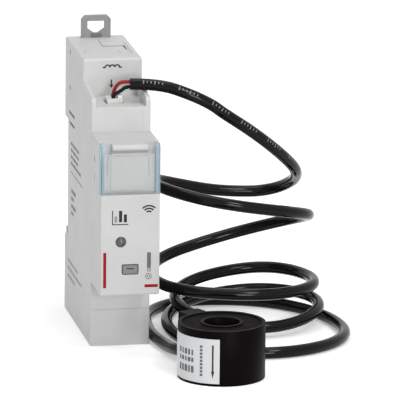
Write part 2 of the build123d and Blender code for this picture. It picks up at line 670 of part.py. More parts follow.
# Latch seen from its side: a plate up the rear and the hook, sloped to snap over the rail's flange
latch_back = LATCH_Y + LATCH_THICK / 2
hook_tip = RAIL_SEAT + FLANGE_GAP
latch_outline = [
    (latch_back, HOOK_LOW),
    (latch_back, LATCH_TOP),
    (latch_back - LATCH_THICK, LATCH_TOP),
    (latch_back - LATCH_THICK, HOOK_HIGH),
    (hook_tip, HOOK_HIGH),
    (hook_tip, HOOK_LOW + HOOK_LEAD_IN),
    (hook_tip + HOOK_LEAD_IN, HOOK_LOW),
]
with BuildPart() as rail_latch:
    with BuildSketch(Plane.YZ.offset(-LATCH_HALF)):
        Polygon(*latch_outline)
    extrude(amount=2 * LATCH_HALF)
    tab_corners = rail_latch.edges().filter_by(Axis.Y).group_by(Axis.Z)[-1]
    chamfer(tab_corners, length=LATCH_CORNER)
    with BuildSketch(Plane.XZ.offset(-latch_back)):
        Polygon(*TOOL_HOLE)
    extrude(amount=LATCH_THICK, mode=Mode.SUBTRACT)
write(rail_latch.part, "rail_latch")


# Ring sensor: a cup with its lead boss, and what it holds
sensor_plane = Plane((SENSOR_X, SENSOR_Y, 0))
sensor_axis = Axis((SENSOR_X, SENSOR_Y, 0), (0, 0, 1))
tube_outer = BORE_RADIUS + TUBE_WALL
cup_inner = SENSOR_RADIUS - CUP_WALL


def radial_plane(angle):
    """Upright plane through the sensor's axis: x points outwards at the angle, y points up."""
    outwards = Vector(cos(radians(angle)), sin(radians(angle)), 0)
    return Plane((SENSOR_X, SENSOR_Y, 0), x_dir=outwards, z_dir=outwards.cross(Vector(0, 0, 1)))


def ring_section(radii, heights, mode=Mode.ADD):
    """Adds or cuts the rectangle between two radii and two heights of a radial sketch."""
    with Locations((sum(radii) / 2, sum(heights) / 2)):
        Rectangle(radii[1] - radii[0], heights[1] - heights[0], mode=mode)


with BuildPart() as sensor_case:
    with BuildSketch(sensor_plane):
        Circle(SENSOR_RADIUS)
        with PolarLocations(BOSS_REACH / 2, 1, start_angle=BOSS_ANGLE):
            RectangleRounded(BOSS_REACH, BOSS_WIDTH, BOSS_CORNER)
        Circle(BORE_RADIUS, mode=Mode.SUBTRACT)
    extrude(amount=SENSOR_HEIGHT)
    with BuildSketch(sensor_plane.offset(CUP_FLOOR)):
        Circle(cup_inner)
        Circle(tube_outer, mode=Mode.SUBTRACT)
    extrude(amount=SENSOR_HEIGHT, mode=Mode.SUBTRACT)
    rim = sensor_case.edges().filter_by(GeomType.CIRCLE).group_by(Axis.Z)[-1]
    chamfer(rim.sort_by(SortBy.RADIUS)[0], length=BORE_CHAMFER)
write(sensor_case.part, "sensor_case")

with BuildPart() as sensor_core:
    with BuildSketch(radial_plane(0)):
        ring_section(CORE_RADII, CORE_HEIGHTS)
    revolve(axis=sensor_axis)
write(sensor_core.part, "sensor_core")

# Winding round the core, open where its ends leave at the boss
with BuildPart() as sensor_winding:
    with BuildSketch(radial_plane(BOSS_ANGLE + WINDING_GAP / 2)):
        ring_section(grown((tube_outer, cup_inner), -WINDING_PLAY), (CUP_FLOOR, WINDING_TOP))
        ring_section(CORE_RADII, CORE_HEIGHTS, Mode.SUBTRACT)
    revolve(axis=sensor_axis, revolution_arc=360 - WINDING_GAP)
write(sensor_winding.part, "sensor_winding")

# Resin that closes the cup, sunk between its walls
resin_top = SENSOR_HEIGHT - RESIN_SINK
with BuildPart() as sensor_potting:
    with BuildSketch(sensor_plane.offset(WINDING_TOP)):
        Circle(cup_inner)
        Circle(tube_outer, mode=Mode.SUBTRACT)
    extrude(amount=resin_top - WINDING_TOP)
write(sensor_potting.part, "sensor_potting")

with BuildPart() as sensor_label:
    with BuildSketch(radial_plane(LABEL_START)):
        ring_section((SENSOR_RADIUS, SENSOR_RADIUS + LABEL_THICK), (LABEL_LOW, LABEL_LOW + LABEL_HEIGHT))
    revolve(axis=sensor_axis, revolution_arc=LABEL_SWEEP)
write(sensor_label.part, "sensor_label")


def corner_radii(route):
    """Radius for each corner of a route: 0.45 of its shorter run over the tangent of half the turn."""
    radii = []
    for before, corner, after in zip(route, route[1:], route[2:]):
        run_in, run_out = Vector(corner) - Vector(before), Vector(after) - Vector(corner)
        half_turn = radians(run_in.get_angle(run_out)) / 2
        radii.append(0.45 * min(run_in.length, run_out.length) / tan(half_turn))
    return radii


def report_tube(name, part, length, section_area, radii):
    """Prints a tube's bends and compares its volume with its section times its length."""
    bends = ", ".join(f"{bend:.1f}" for bend in radii)
    share = part.volume / (section_area * length)
    print(f"{name}: length {length:.1f} mm, radii {bends} mm, volume over section times length {share:.4f}")


# Directions at the two ends of the lead
jacket_heading = Vector(0.982, -0.19, 0).normalized()
boss_heading = Vector(-cos(radians(BOSS_ANGLE)), -sin(radians(BOSS_ANGLE)), 0)
boss_tip = Vector(SENSOR_X, SENSOR_Y, ENTRY_Z) - boss_heading * BOSS_REACH

# Two insulated cores from the plug into the jacket
core_starts = {
    "red": [(-1.1, -15.6, PLUG_TOP), (-1.1, -15.65, PLUG_TOP + 2.3), (-0.4, -16.1, PLUG_TOP + 4.1)],
    "black": [(-1.3, -17.9, PLUG_TOP), (-1.2, -17.85, PLUG_TOP + 1.4), (1.0, -17.65, PLUG_TOP + 2.5)],
}
core_rises = {"red": CORE_APART, "black": -CORE_APART}
core_end_runs = {"red": 2.2, "black": 1.2}
for colour, core_start in core_starts.items():
    core_end = Vector(*JACKET_END) + Vector(0, 0, core_rises[colour])
    core_route = core_start + [core_end - jacket_heading * core_end_runs[colour], core_end]
    core_bends = corner_radii(core_route)
    with BuildPart() as core:
        with BuildLine() as core_line:
            FilletPolyline(*core_route, radius=core_bends)
        core_path = core_line.wires()[0]
        with BuildSketch(Plane(core_path @ 0, z_dir=core_path % 0)) as core_section:
            RegularPolygon(CORE_RADIUS, CORE_SIDES)
        sweep()
    report_tube(f"{colour}_core", core.part, core_path.length, core_section.sketch.area, core_bends)
    write(core.part, f"{colour}_core")

# Quarter-turn stations of the standing loops, going round counter-clockwise seen from above:
# each turn passes its front, right, rear and left station, and the last loops lie on the surface
turn_stations = [
    (30.5, -21.4, 69.3),
    (57.0, 0.5, 44.0),
    (46.0, 14.5, 35.2),
    (12.9, 1.0, 42.9),
    (36.0, -19.5, 39.6),
    (62.5, -1.0, 32.0),
    (40.0, 19.0, 21.2),
    (12.9, 0.5, 15.7),
    (40.0, -18.5, 12.4),
    (63.8, 0.0, 11.9),
    (46.0, 19.0, 11.6),
    (21.3, -1.0, 7.3),
    (42.0, -22.5, 3.2),
    (64.0, -3.0, 5.8),
    (44.0, 21.5, 7.0),
    (16.4, -14.0, 2.6),
    (40.0, -47.0, FLOOR_Z),
    (69.0, -20.0, FLOOR_Z),
    (34.0, 20.5, FLOOR_Z),
    (11.5, -15.0, FLOOR_Z),
]
QUARTER_HEADINGS = [Vector(1, 0, 0), Vector(0, 1, 0), Vector(-1, 0, 0), Vector(0, -1, 0)]
FIRST_SLOPE = -0.66
FLAT_FROM = 16


def station_headings():
    """Heading at each station: square to its side of the turn, with the climb that its neighbours give."""
    headings = []
    for index, station in enumerate(turn_stations):
        before = turn_stations[max(index - 1, 0)]
        after = turn_stations[min(index + 1, len(turn_stations) - 1)]
        round_way = 1.11 * (dist(before[:2], station[:2]) + dist(station[:2], after[:2]))
        slope = (after[2] - before[2]) / round_way
        if index == 0:
            slope = FIRST_SLOPE
        if index >= FLAT_FROM:
            slope = 0
        headings.append((QUARTER_HEADINGS[index % 4] + Vector(0, 0, slope)).normalized())
    return headings


def biarc_joint(start, start_way, end, end_way):
    """Point where two tangent arcs meet that leave start and reach end with the given headings."""
    chord = end - start
    both_ways = start_way + end_way
    spread = 2 * (1 - start_way.dot(end_way))
    along = chord.dot(both_ways)
    reach = (sqrt(along**2 + spread * chord.dot(chord)) - along) / spread
    return (start + start_way * reach + end - end_way * reach) / 2


def least_gap(points, spacing, diameter):
    """Least distance between surfaces of stretches that are more than four diameters apart on the tube."""
    apart = int(4 * diameter / spacing)
    return min(dist(points[i], other) for i in range(len(points)) for other in points[i + apart:]) - diameter


headings = station_headings()
stations = [Vector(*station) for station in turn_stations]
coil_start = stations[0] - headings[0] * TUBE_END_RUN
coil_end = stations[-1] + headings[-1] * TUBE_END_RUN
turn_radii = []
with BuildPart() as sensor_cable_coil:
    with BuildLine() as coil_line:
        Line(coil_start, stations[0])
        for index in range(len(stations) - 1):
            start, end = stations[index], stations[index + 1]
            joint = biarc_joint(start, headings[index], end, headings[index + 1])
            first_arc = TangentArc(start, joint, tangent=headings[index])
            second_arc = TangentArc(joint, end, tangent=first_arc % 1)
            turn_radii += [first_arc.radius, second_arc.radius]
        Line(stations[-1], coil_end)
    with BuildSketch(Plane(coil_start, z_dir=headings[0])) as coil_section:
        RegularPolygon(CABLE_RADIUS, CABLE_SIDES)
    sweep()
coil_path = coil_line.wires()[0]
coil_length = coil_path.length
report_tube("sensor_cable_coil", sensor_cable_coil.part, coil_length, coil_section.sketch.area, turn_radii)
sample_count = int(coil_length)
coil_points = [tuple(coil_path @ (step / sample_count)) for step in range(sample_count + 1)]
coil_gap = least_gap(coil_points, coil_length / sample_count, 2 * CABLE_RADIUS)
print(f"sensor_cable_coil: least gap to itself {coil_gap:.2f} mm")
write(sensor_cable_coil.part, "sensor_cable_coil")

# Free stretches: from the jacket end to the first turn, and from the last turn to the boss
lead_route = [
    JACKET_END,
    tuple(Vector(*JACKET_END) + jacket_heading * 8.6),
    tuple(coil_start - headings[0] * 8.0),
    tuple(coil_start),
]
tail_route = [
    tuple(coil_end),
    (11.5, -27.0, FLOOR_Z),
    (11.3, -35.5, 2.3),
    tuple(boss_tip - boss_heading * 7.0),
    tuple(boss_tip),
]
for name, route in (("sensor_cable_lead", lead_route), ("sensor_cable_tail", tail_route)):
    route_bends = corner_radii(route)
    with BuildPart() as stretch:
        with BuildLine() as stretch_line:
            FilletPolyline(*route, radius=route_bends)
        stretch_path = stretch_line.wires()[0]
        with BuildSketch(Plane(stretch_path @ 0, z_dir=stretch_path % 0)) as stretch_section:
            RegularPolygon(CABLE_RADIUS, CABLE_SIDES)
        sweep()
    report_tube(name, stretch.part, stretch_path.length, stretch_section.sketch.area, route_bends)
    write(stretch.part, name)
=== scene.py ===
"""Dresses the slim rail energy meter, its sensor lead and its ring current sensor for a product picture."""

import itertools
import math

import bpy
import numpy as np
from mathutils import Matrix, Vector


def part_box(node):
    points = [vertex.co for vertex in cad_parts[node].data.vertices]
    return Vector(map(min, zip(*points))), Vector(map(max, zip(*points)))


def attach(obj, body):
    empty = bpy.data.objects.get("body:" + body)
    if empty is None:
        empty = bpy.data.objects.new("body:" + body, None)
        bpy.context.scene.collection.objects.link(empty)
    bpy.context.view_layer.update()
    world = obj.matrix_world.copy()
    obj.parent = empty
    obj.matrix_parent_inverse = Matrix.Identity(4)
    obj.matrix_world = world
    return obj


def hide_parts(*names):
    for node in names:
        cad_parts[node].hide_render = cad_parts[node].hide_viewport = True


bl_info = {
    "name": "Rail energy meter dressing",
    "version": (1, 0, 0),
    "blender": (4, 5, 0),
    "location": "View3D > Sidebar > Meter",
    "description": "Finishes, prints and lead of a one-module energy meter with a ring current sensor",
    "category": "Object",
}

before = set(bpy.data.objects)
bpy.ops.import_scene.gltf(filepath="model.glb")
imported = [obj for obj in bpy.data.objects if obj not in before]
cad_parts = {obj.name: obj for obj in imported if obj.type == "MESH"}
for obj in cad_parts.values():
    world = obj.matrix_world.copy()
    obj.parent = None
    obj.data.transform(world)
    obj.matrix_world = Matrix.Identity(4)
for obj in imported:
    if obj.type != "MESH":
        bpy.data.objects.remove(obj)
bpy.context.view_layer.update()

MM = 0.001

# Faces, edges and middles of the module's pieces that its prints and finishes keep to
NOSE_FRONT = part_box("front_cover")[0][1]
HEAD_FRONT = -8.75 * MM
LEFT_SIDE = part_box("left_shell")[0][0]
TOP_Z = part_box("right_shell")[1][2]
BUTTON_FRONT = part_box("reset_button")[0][1]
WINDOW_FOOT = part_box("label_window")[0][2]
WINDOW_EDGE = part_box("label_window")[1][0]
LENS_MIDDLE = np.mean(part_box("led_lens"), axis=0)

# Seam of the two housing halves on the top, darkened with painted shade: along the middle from the rear, then
# across to the right
SEAM_LEFT, SEAM_RIGHT = -0.02 * MM, 0.10 * MM
SEAM_REAR = 18.5 * MM
SEAM_SHADE_STRENGTH = 0.9
CROSS_SEAM_Y = 9.72 * MM
CROSS_SEAM_HALF = 0.3 * MM
CROSS_SEAM_END = 6.6 * MM
SEAM_DEPTH = 3 * MM

# Painted shade in gaps: under the hinge barrel of the nose cover, and under the tool hole of the latch
HINGE_GAP_REACH = 5.3 * MM
HINGE_GAP_LOW, HINGE_GAP_HIGH = 61.6 * MM, 62.6 * MM
LATCH_HOLE_LEFT, LATCH_HOLE_RIGHT = -1.5 * MM, 1.6 * MM
LATCH_SHADE_HEIGHT = 1.1 * MM

# Button's face inside its rim, by its middle and size in millimetres, with painted shade of the gap round the
# cap on the rim outside it, and the span in which the lens darkens with painted shade of its dome
BUTTON_MIDDLE = np.array((0.05, 27.2))
BUTTON_FACE = np.array((4.2, 2.35))
LENS_PALE_RADIUS, LENS_RIM_RADIUS = 0.4 * MM, 1.6 * MM

# Window's tinted bands: the arm and the lines in it, counted inwards from the edge, and the line at the foot
ARM_WIDTH = 1.25 * MM
OUTER_LINE_WIDTH = 0.38 * MM
INNER_LINE_FROM, INNER_LINE_TO = 0.95 * MM, 1.15 * MM
FOOT_LINE_HEIGHT = 0.3 * MM
BAND_SOFTNESS = 0.12 * MM
OUTER_LINE_SOFTNESS = 0.14 * MM
INNER_LINE_STRENGTH = 0.45
FOOT_LINE_STRENGTH = 0.5
CLEAR_ALPHA, TINTED_ALPHA = 0.11, 0.75
CLOUD_SCALE = 260
CLOUD_LEAST = 0.6

# Grain of every finish: the scales of its colour and gloss noises, the gloss's share and the bump's strength
MOTTLE_SCALE = 90
GLOSS_SCALE = 320
GLOSS_CHANGE = 0.1
BUMP_STRENGTH = 0.6

# Rounding of sharp edges: the reach that welds loose triangles, and the angle that counts as sharp
WELD_REACH = 0.002 * MM
SHARP_ANGLE = math.radians(35)

# Rows of plain bars on the left side, in millimetres
BAR_LENGTHS = (2.2, 1.3, 3.1, 1.7)
BAR_GAP = 0.55
BAR_CORNER = 0.12

# Ring sensor: its axis and radius, its label's lower and upper edge, and the boss that the lead enters
SENSOR_X, SENSOR_Y = np.mean(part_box("sensor_core"), axis=0)[:2]
SENSOR_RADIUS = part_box("sensor_case")[1][0] - SENSOR_X
LABEL_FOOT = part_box("sensor_label")[0][2]
LABEL_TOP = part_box("sensor_label")[1][2]
LABEL_LIFT = 0.12 * MM
BOSS_ANGLE = math.radians(116)
BOSS_REACH = 17.0 * MM
BOSS_ENTRY_Z = 0.0032

# Lead: the jacket's end beside the plug, the quarter-turn stations of its loops and the floor stretch
CABLE_RADIUS = 1.75 * MM
FLOOR_Z = CABLE_RADIUS + 0.03 * MM
JACKET_END = np.array((0.0037, -0.0175, 0.0773))
JACKET_HEADING = np.array((0.982, -0.19, 0.0))
JACKET_RUN = 8.6 * MM
JACKET_RISE = np.array((0, 0, 0.2)) * MM
COIL_APPROACH = np.array((-0.0062, 0, 0.0032))
TURN_STATIONS = [
    (0.0305, -0.0214, 0.0689),
    (0.0574, 0.0002, 0.0439),
    (0.0460, 0.0145, 0.0362),
    (0.0129, 0.0010, 0.0435),
    (0.0360, -0.0195, 0.0399),
    (0.0611, -0.0010, 0.0320),
    (0.0400, 0.0190, 0.0221),
    (0.0129, 0.0005, 0.0149),
    (0.0400, -0.0185, 0.0124),
    (0.0631, 0.0000, 0.0119),
    (0.0460, 0.0190, 0.0116),
    (0.0203, -0.0010, 0.0073),
    (0.0420, -0.0225, 0.0032),
    (0.0640, -0.0030, 0.0058),
    (0.0440, 0.0165, 0.0056),
    (0.0158, -0.0140, 0.0026),
    (0.0400, -0.0470, FLOOR_Z),
    (0.0686, -0.0200, FLOOR_Z),
    (0.0340, 0.0205, FLOOR_Z),
    (0.0109, -0.0060, FLOOR_Z),
]
TAIL_POINTS = [
    (0.0104, -0.0165, FLOOR_Z),
    (0.0112, -0.0265, FLOOR_Z),
    (0.0126, -0.0355, 0.0019),
]
BOSS_RUN = 4.5 * MM

# Turns: points on an arc, level headings in turn, a quarter's arc over its chord, and both ends given
POINTS_PER_ARC = 2
QUARTER_WAYS = np.array(((1, 0, 0), (0, 1, 0), (-1, 0, 0), (0, -1, 0)), float)
QUARTER_OVER_CHORD = 1.11
FIRST_SLOPE = -0.814
FIRST_TURN_LIFT = np.array((0.90, -0.25, -1.05)) * MM
FLAT_FROM = 16

# Cores: name, points in millimetres above their foot, rise and straight length at the jacket, and colour
CORE_RADIUS = 0.55 * MM
CORES_START = np.array((0, 0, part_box("red_core")[0][2]))
CORES = (
    ("red", ((-1.1, -15.6, 0), (-0.9, -15.65, 1.7), (0.2, -16.1, 3.8)), 0.70, 2.2, (0.32, 0.025, 0.03)),
    ("black", ((-1.3, -17.9, 0), (-1.2, -17.85, 1.1), (1.0, -17.65, 2.1)), -0.80, 1.2, (0.004, 0.004, 0.004)),
)

# Length marks along the jacket, in millimetres, and the way that they face
MARK_GROUPS = 7
MARK_START = 4.0
MARK_GROUP_PITCH = 10.5
MARK_PITCH = 1.1
MARK_WIDTH = 0.32
MARK_HEIGHTS = (1.15, 0.65, 0.65, 1.15, 0.65, 0.65)
MARK_LIFT = 0.03
MARK_FACING = np.array((-0.10, -0.80, 0.60))

# Lamps, each by its name, place, size and power, the point that they look at, and the floor
LAMPS = (
    ("Key_light", (0.45, -1.0, 1.3), 0.32, 6.6),
    ("Front_light", (0.25, -1.7, 0.3), 0.45, 9.1),
    ("Top_light", (0.0, 0.1, 1.6), 1.0, 6.9),
    ("Left_light", (-1.5, -0.3, 0.7), 0.9, 2.4),
)
LAMP_TARGET = np.array((0.02, -0.02, 0.04))
FLOOR_REACH = 12.0
FLOOR_GLOW = 0.38


def unit(vector):
    """Vector divided by its own length."""
    return vector / np.linalg.norm(vector)


def circle_points(angles):
    """Points of the unit circle: cosine and sine of each angle."""
    return np.stack((np.cos(angles), np.sin(angles)), axis=1)


def rounded_bar(centre, size, corner, steps=5):
    """Outline of a bar: a quarter circle round each of its four corner centres, joined by straight sides."""
    half = np.array(size) / 2 - corner
    turn = np.linspace(0, math.pi / 2, steps)
    quarters = [
        circle_points(turn + index * math.pi / 2) * corner + np.array(centre) + half * np.array(signs)
        for index, signs in enumerate(((1, 1), (-1, 1), (-1, -1), (1, -1)))
    ]
    return np.concatenate(quarters)


def arc_band(centre, radius, width, start, end, steps=24):
    """Outline of an arc stroke: the outer circle from start to end in degrees, then the inner one back."""
    ring = circle_points(np.radians(np.linspace(start, end, steps)))
    return np.concatenate((ring * (radius + width / 2), ring[::-1] * (radius - width / 2))) + np.array(centre)


def stroke(start, end, width):
    """Outline of a straight stroke: its two ends moved sideways by half its width."""
    start, end = np.array(start, float), np.array(end, float)
    along = unit(end - start)
    side = np.array((-along[1], along[0])) * width / 2
    return np.array((start - side, end - side, end + side, start + side))


def square_frame(centre, size, width):
    """Outlines of four strokes round a square: two level ones, and two upright ones between their middles."""
    x, z = centre
    reach = (size - width) / 2
    level = [stroke((x - size / 2, z + side), (x + size / 2, z + side), width) for side in (-reach, reach)]
    upright = [stroke((x + side, z - reach), (x + side, z + reach), width) for side in (-reach, reach)]
    return level + upright


def bar_rows(rows):
    """Outlines of plain bars in rows (start, end, height of the row, height of a bar).

    The bars' lengths come round in turn, with an even gap, for as long as the next bar fits in the row.
    """
    bars = []
    for start, end, up, height in rows:
        reach = start
        for length in itertools.cycle(BAR_LENGTHS):
            if reach + length > end:
                break
            bars.append(rounded_bar((reach + length / 2, up), (length, height), BAR_CORNER, steps=3))
            reach += length + BAR_GAP
    return bars


def new_mesh(name, points, faces):
    """Mesh of an array of points and a list of faces."""
    mesh = bpy.data.meshes.new(name)
    mesh.from_pydata(points.tolist(), [], faces)
    return mesh


def slab_mesh(name, outlines, place, thickness):
    """Thin closed slabs, one for each outline in millimetres.

    A slab is its outline at out = thickness, the same outline at out = -thickness, and a wall of quads
    between the two. place turns an array of (across, up, out) into points, so that a slab can lie on a
    flat or a round face.
    """
    points, faces, first = [], [], 0
    for outline in outlines:
        size = len(outline)
        front = first + np.arange(size)
        after = np.roll(front, -1)
        wall = np.column_stack((front, front + size, after + size, after))
        faces += [front.tolist(), (front[::-1] + size).tolist(), *wall.tolist()]
        points += [
            place(np.column_stack((outline * MM, np.full(size, out)))) for out in (thickness, -thickness)
        ]
        first += 2 * size
    return new_mesh(name, np.concatenate(points), faces)


def patch_mesh(name, bars, place, lift, steps=5):
    """Patches bent onto a round face, one for each bar (across, up, width, height) in millimetres.

    The point (u, v) of a patch, each from -1 to 1, is the bar's centre plus u and v times its half sizes.
    """
    across, up, width, height = np.array(bars).T[:, :, None] * MM
    u, v = (side.ravel() for side in np.meshgrid((-1.0, 1.0), np.linspace(-1, 1, steps), indexing="ij"))
    grid = np.broadcast_arrays(across + u * width / 2, up + v * height / 2, lift * MM)
    points = place(np.stack(grid, axis=-1).reshape(-1, 3))
    first = np.arange(len(bars))[:, None] * 2 * steps + np.arange(steps - 1)
    quads = np.stack((first, first + steps, first + steps + 1, first + 1), axis=-1)
    return new_mesh(name, points, quads.reshape(-1, 4).tolist())


def on_front(depth):
    """Placement on an upright face that looks towards -Y at that depth."""
    return lambda points: np.column_stack((points[:, 0], depth - points[:, 2], points[:, 1]))


def on_left(face):
    """Placement on the upright face that looks towards -X: across runs from the rear to the front."""
    return lambda points: np.column_stack((face - points[:, 2], -points[:, 0], points[:, 1]))


def on_sensor(radius):
    """Placement round the sensor: across is an arc length from the -Y side, up is height, out is radius."""
    def place(points):
        ring = circle_points(points[:, 0] / radius - math.pi / 2) * (radius + points[:, 2:])
        return np.column_stack((ring + np.array((SENSOR_X, SENSOR_Y)), points[:, 1]))
    return place


def on_tube(line, radius, facing):
    """Placement on a round lead: across is the way along its line, up goes round it from the facing side."""
    steps = np.linalg.norm(np.diff(line, axis=0), axis=1)
    way = np.concatenate(((0,), np.cumsum(steps)))
    headings = np.gradient(line, way, axis=0)

    def read(values, places):
        """Rows of values along the line, read at places on the way."""
        return np.column_stack([np.interp(places, way, values[:, axis]) for axis in range(3)])

    def place(points):
        heading = read(headings, points[:, 0])
        heading /= np.linalg.norm(heading, axis=1)[:, None]
        out = facing - (heading @ facing)[:, None] * heading
        out /= np.linalg.norm(out, axis=1)[:, None]
        angle = (points[:, 1] / radius)[:, None]
        turned = np.cos(angle) * out + np.sin(angle) * np.cross(heading, out)
        return read(line, points[:, 0]) + (radius + points[:, 2:]) * turned
    return place


def add_piece(data, material, body="meter"):
    """Puts a mesh or curve in the scene as a piece of its name, with its material, riding on a body."""
    data.materials.append(material)
    piece = bpy.data.objects.new(data.name, data)
    bpy.context.scene.collection.objects.link(piece)
    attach(piece, body)
    return piece


def add_print(name, outlines, place, material, body="meter"):
    """Puts a print in the scene: slabs of ink from outlines in millimetres, on the face that place gives."""
    thickness = bpy.context.scene.meter_print.thickness
    add_piece(slab_mesh(name, outlines, place, thickness), material, body)


def dress(node, material):
    """Gives a CAD node one material on all its slots."""
    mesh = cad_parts[node].data
    mesh.materials.clear()
    mesh.materials.append(material)


def soften(node, width):
    """Rounds a CAD node's sharp edges: its loose triangles are welded, then its sharp edges bevelled."""
    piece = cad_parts[node]
    weld = piece.modifiers.new("Weld", "WELD")
    weld.merge_threshold = WELD_REACH
    bevel = piece.modifiers.new("Bevel", "BEVEL")
    bevel.width = width
    bevel.segments = 2
    bevel.limit_method = "ANGLE"
    bevel.angle_limit = SHARP_ANGLE
    bevel.use_clamp_overlap = True
    bevel.harden_normals = True


def new_material(name):
    """New node material, as the material, its tree and its main shader."""
    material = bpy.data.materials.new(name)
    material.use_nodes = True
    tree = material.node_tree
    return material, tree, tree.nodes["Principled BSDF"]


def set_inputs(node, values):
    """Sets the unlinked inputs of a shader node."""
    for key, value in values.items():
        node.inputs[key].default_value = value


def add_node(tree, kind, inputs=None, **values):
    """Adds a shader node, sets its properties and its unlinked inputs."""
    node = tree.nodes.new(kind)
    for key, value in values.items():
        setattr(node, key, value)
    set_inputs(node, inputs or {})
    return node


def coordinates(tree, scale=(1, 1, 1)):
    """Object coordinates, stretched by a Mapping node where a finish runs in one direction."""
    source = add_node(tree, "ShaderNodeTexCoord")
    mapping = add_node(tree, "ShaderNodeMapping", {"Scale": scale})
    tree.links.new(source.outputs["Object"], mapping.inputs["Vector"])
    return mapping.outputs["Vector"]


def noise(tree, vector, scale, detail=2.0):
    """Noise read at a vector, as its value output."""
    node = add_node(tree, "ShaderNodeTexNoise", {"Scale": scale, "Detail": detail})
    tree.links.new(vector, node.inputs["Vector"])
    return node.outputs["Fac"]


def spread(tree, value, low, high, low_in=0.3, high_in=0.7):
    """Maps a value from its range, by default the middle of a noise's, to the span from low to high."""
    ends = {"From Min": low_in, "From Max": high_in, "To Min": low, "To Max": high}
    node = add_node(tree, "ShaderNodeMapRange", ends)
    tree.links.new(value, node.inputs["Value"])
    return node.outputs["Result"]


def blend_colours(tree, factor, first, second):
    """Mixes two colours, each an output or three numbers, by a factor output."""
    node = add_node(tree, "ShaderNodeMix", data_type="RGBA")
    tree.links.new(factor, node.inputs["Factor"])
    for socket, colour in ((node.inputs["A"], first), (node.inputs["B"], second)):
        if isinstance(colour, bpy.types.NodeSocket):
            tree.links.new(colour, socket)
        else:
            socket.default_value = (*colour, 1.0)
    return node.outputs["Result"]


def maths(tree, operation, first, second=None):
    """One operation on a value or two, each an output or a number."""
    node = add_node(tree, "ShaderNodeMath", operation=operation)
    for socket, value in zip(node.inputs, (first, second)):
        if isinstance(value, bpy.types.NodeSocket):
            tree.links.new(value, socket)
        elif value is not None:
            socket.default_value = value
    return node.outputs[0]


def shaded(colour, share):
    """Colour with each channel at that share."""
    return [channel * share for channel in colour]


def finish(
    name, colour, roughness, grain=3500, depth=0.012, mottle=0.03, metal=0.0, specular=0.5, stretch=(1, 1, 1)
):
    """Material of one moulded, coated or metal surface.

    A fine noise gives its grain as a bump of that depth in millimetres, a broad one its slight change of
    colour, a third its change of gloss.
    """
    material, tree, shader = new_material(name)
    set_inputs(shader, {"Metallic": metal, "Specular IOR Level": specular})
    vector = coordinates(tree, stretch)
    darker, lighter = shaded(colour, 1 - mottle), shaded(colour, 1 + mottle)
    tint = blend_colours(tree, spread(tree, noise(tree, vector, MOTTLE_SCALE), 0, 1), darker, lighter)
    tree.links.new(tint, shader.inputs["Base Color"])
    dull, bright = roughness * (1 - GLOSS_CHANGE), roughness * (1 + GLOSS_CHANGE)
    gloss = spread(tree, noise(tree, vector, GLOSS_SCALE, detail=3), dull, bright)
    tree.links.new(gloss, shader.inputs["Roughness"])
    bump = add_node(tree, "ShaderNodeBump", {"Strength": BUMP_STRENGTH, "Distance": depth * MM})
    tree.links.new(noise(tree, vector, grain, detail=3), bump.inputs["Height"])
    tree.links.new(bump.outputs["Normal"], shader.inputs["Normal"])
    return material


def ink(name, colour, roughness=0.5):
    """Material of one ink: a finish with hardly any gloss."""
    return finish(f"Ink_{name}", colour, roughness, specular=0.1)


def axis_values(tree):
    """The three Object coordinates as single values."""
    split = add_node(tree, "ShaderNodeSeparateXYZ")
    tree.links.new(coordinates(tree), split.inputs["Vector"])
    return split.outputs["X"], split.outputs["Y"], split.outputs["Z"]


def within(tree, value, low, high, soft=0.05 * MM):
    """One where a value lies between low and high, falling to zero over the soft distance outside."""
    middle, half = (low + high) / 2, (high - low) / 2
    away = maths(tree, "ABSOLUTE", maths(tree, "SUBTRACT", value, middle))
    return spread(tree, away, 1, 0, half, half + soft)


def overlay(material, colour, mask):
    """Lays a second colour over a finish where the mask, made from the three coordinates, is one."""
    tree = material.node_tree
    base = tree.nodes["Principled BSDF"].inputs["Base Color"]
    below = base.links[0].from_socket
    tree.links.new(blend_colours(tree, mask(tree, *axis_values(tree)), below, colour), base)
    return material


def painted_seam_shade_mask(tree, x, y, z):
    """Painted shade in the seam on the top: the run along the middle behind the cross run, and the cross run.
    """
    along_x = within(tree, x, SEAM_LEFT, SEAM_RIGHT)
    along = maths(tree, "MULTIPLY", along_x, within(tree, y, CROSS_SEAM_Y, SEAM_REAR))
    across_y = within(tree, y, CROSS_SEAM_Y - CROSS_SEAM_HALF, CROSS_SEAM_Y + CROSS_SEAM_HALF)
    across = maths(tree, "MULTIPLY", within(tree, x, 0, CROSS_SEAM_END), across_y)
    both = maths(tree, "MAXIMUM", maths(tree, "MULTIPLY", along, SEAM_SHADE_STRENGTH), across)
    return maths(tree, "MULTIPLY", both, within(tree, z, TOP_Z - SEAM_DEPTH, TOP_Z + MM))


def hinge_gap_shade_mask(tree, x, y, z):
    """Painted shade of the gap under the hinge barrel of the nose cover."""
    gap_x = within(tree, x, -HINGE_GAP_REACH, HINGE_GAP_REACH)
    return maths(tree, "MULTIPLY", gap_x, within(tree, z, HINGE_GAP_LOW, HINGE_GAP_HIGH))


def latch_hole_shade_mask(tree, x, y, z):
    """Soft painted shade under the tool hole of the latch."""
    hole_x = within(tree, x, LATCH_HOLE_LEFT, LATCH_HOLE_RIGHT, soft=0.3 * MM)
    shade_z = within(tree, z, TOP_Z, TOP_Z + LATCH_SHADE_HEIGHT, soft=0.4 * MM)
    return maths(tree, "MULTIPLY", hole_x, shade_z)


def painted_button_gap_mask(tree, x, y, z):
    """One on the rim of the button's cap, where the shade of the gap round it is painted, zero on its face.
    """
    low, high = (BUTTON_MIDDLE - BUTTON_FACE / 2) * MM, (BUTTON_MIDDLE + BUTTON_FACE / 2) * MM
    face_x = within(tree, x, low[0], high[0], soft=0.1 * MM)
    face_z = within(tree, z, low[1], high[1], soft=0.1 * MM)
    return maths(tree, "SUBTRACT", 1, maths(tree, "MULTIPLY", face_x, face_z))


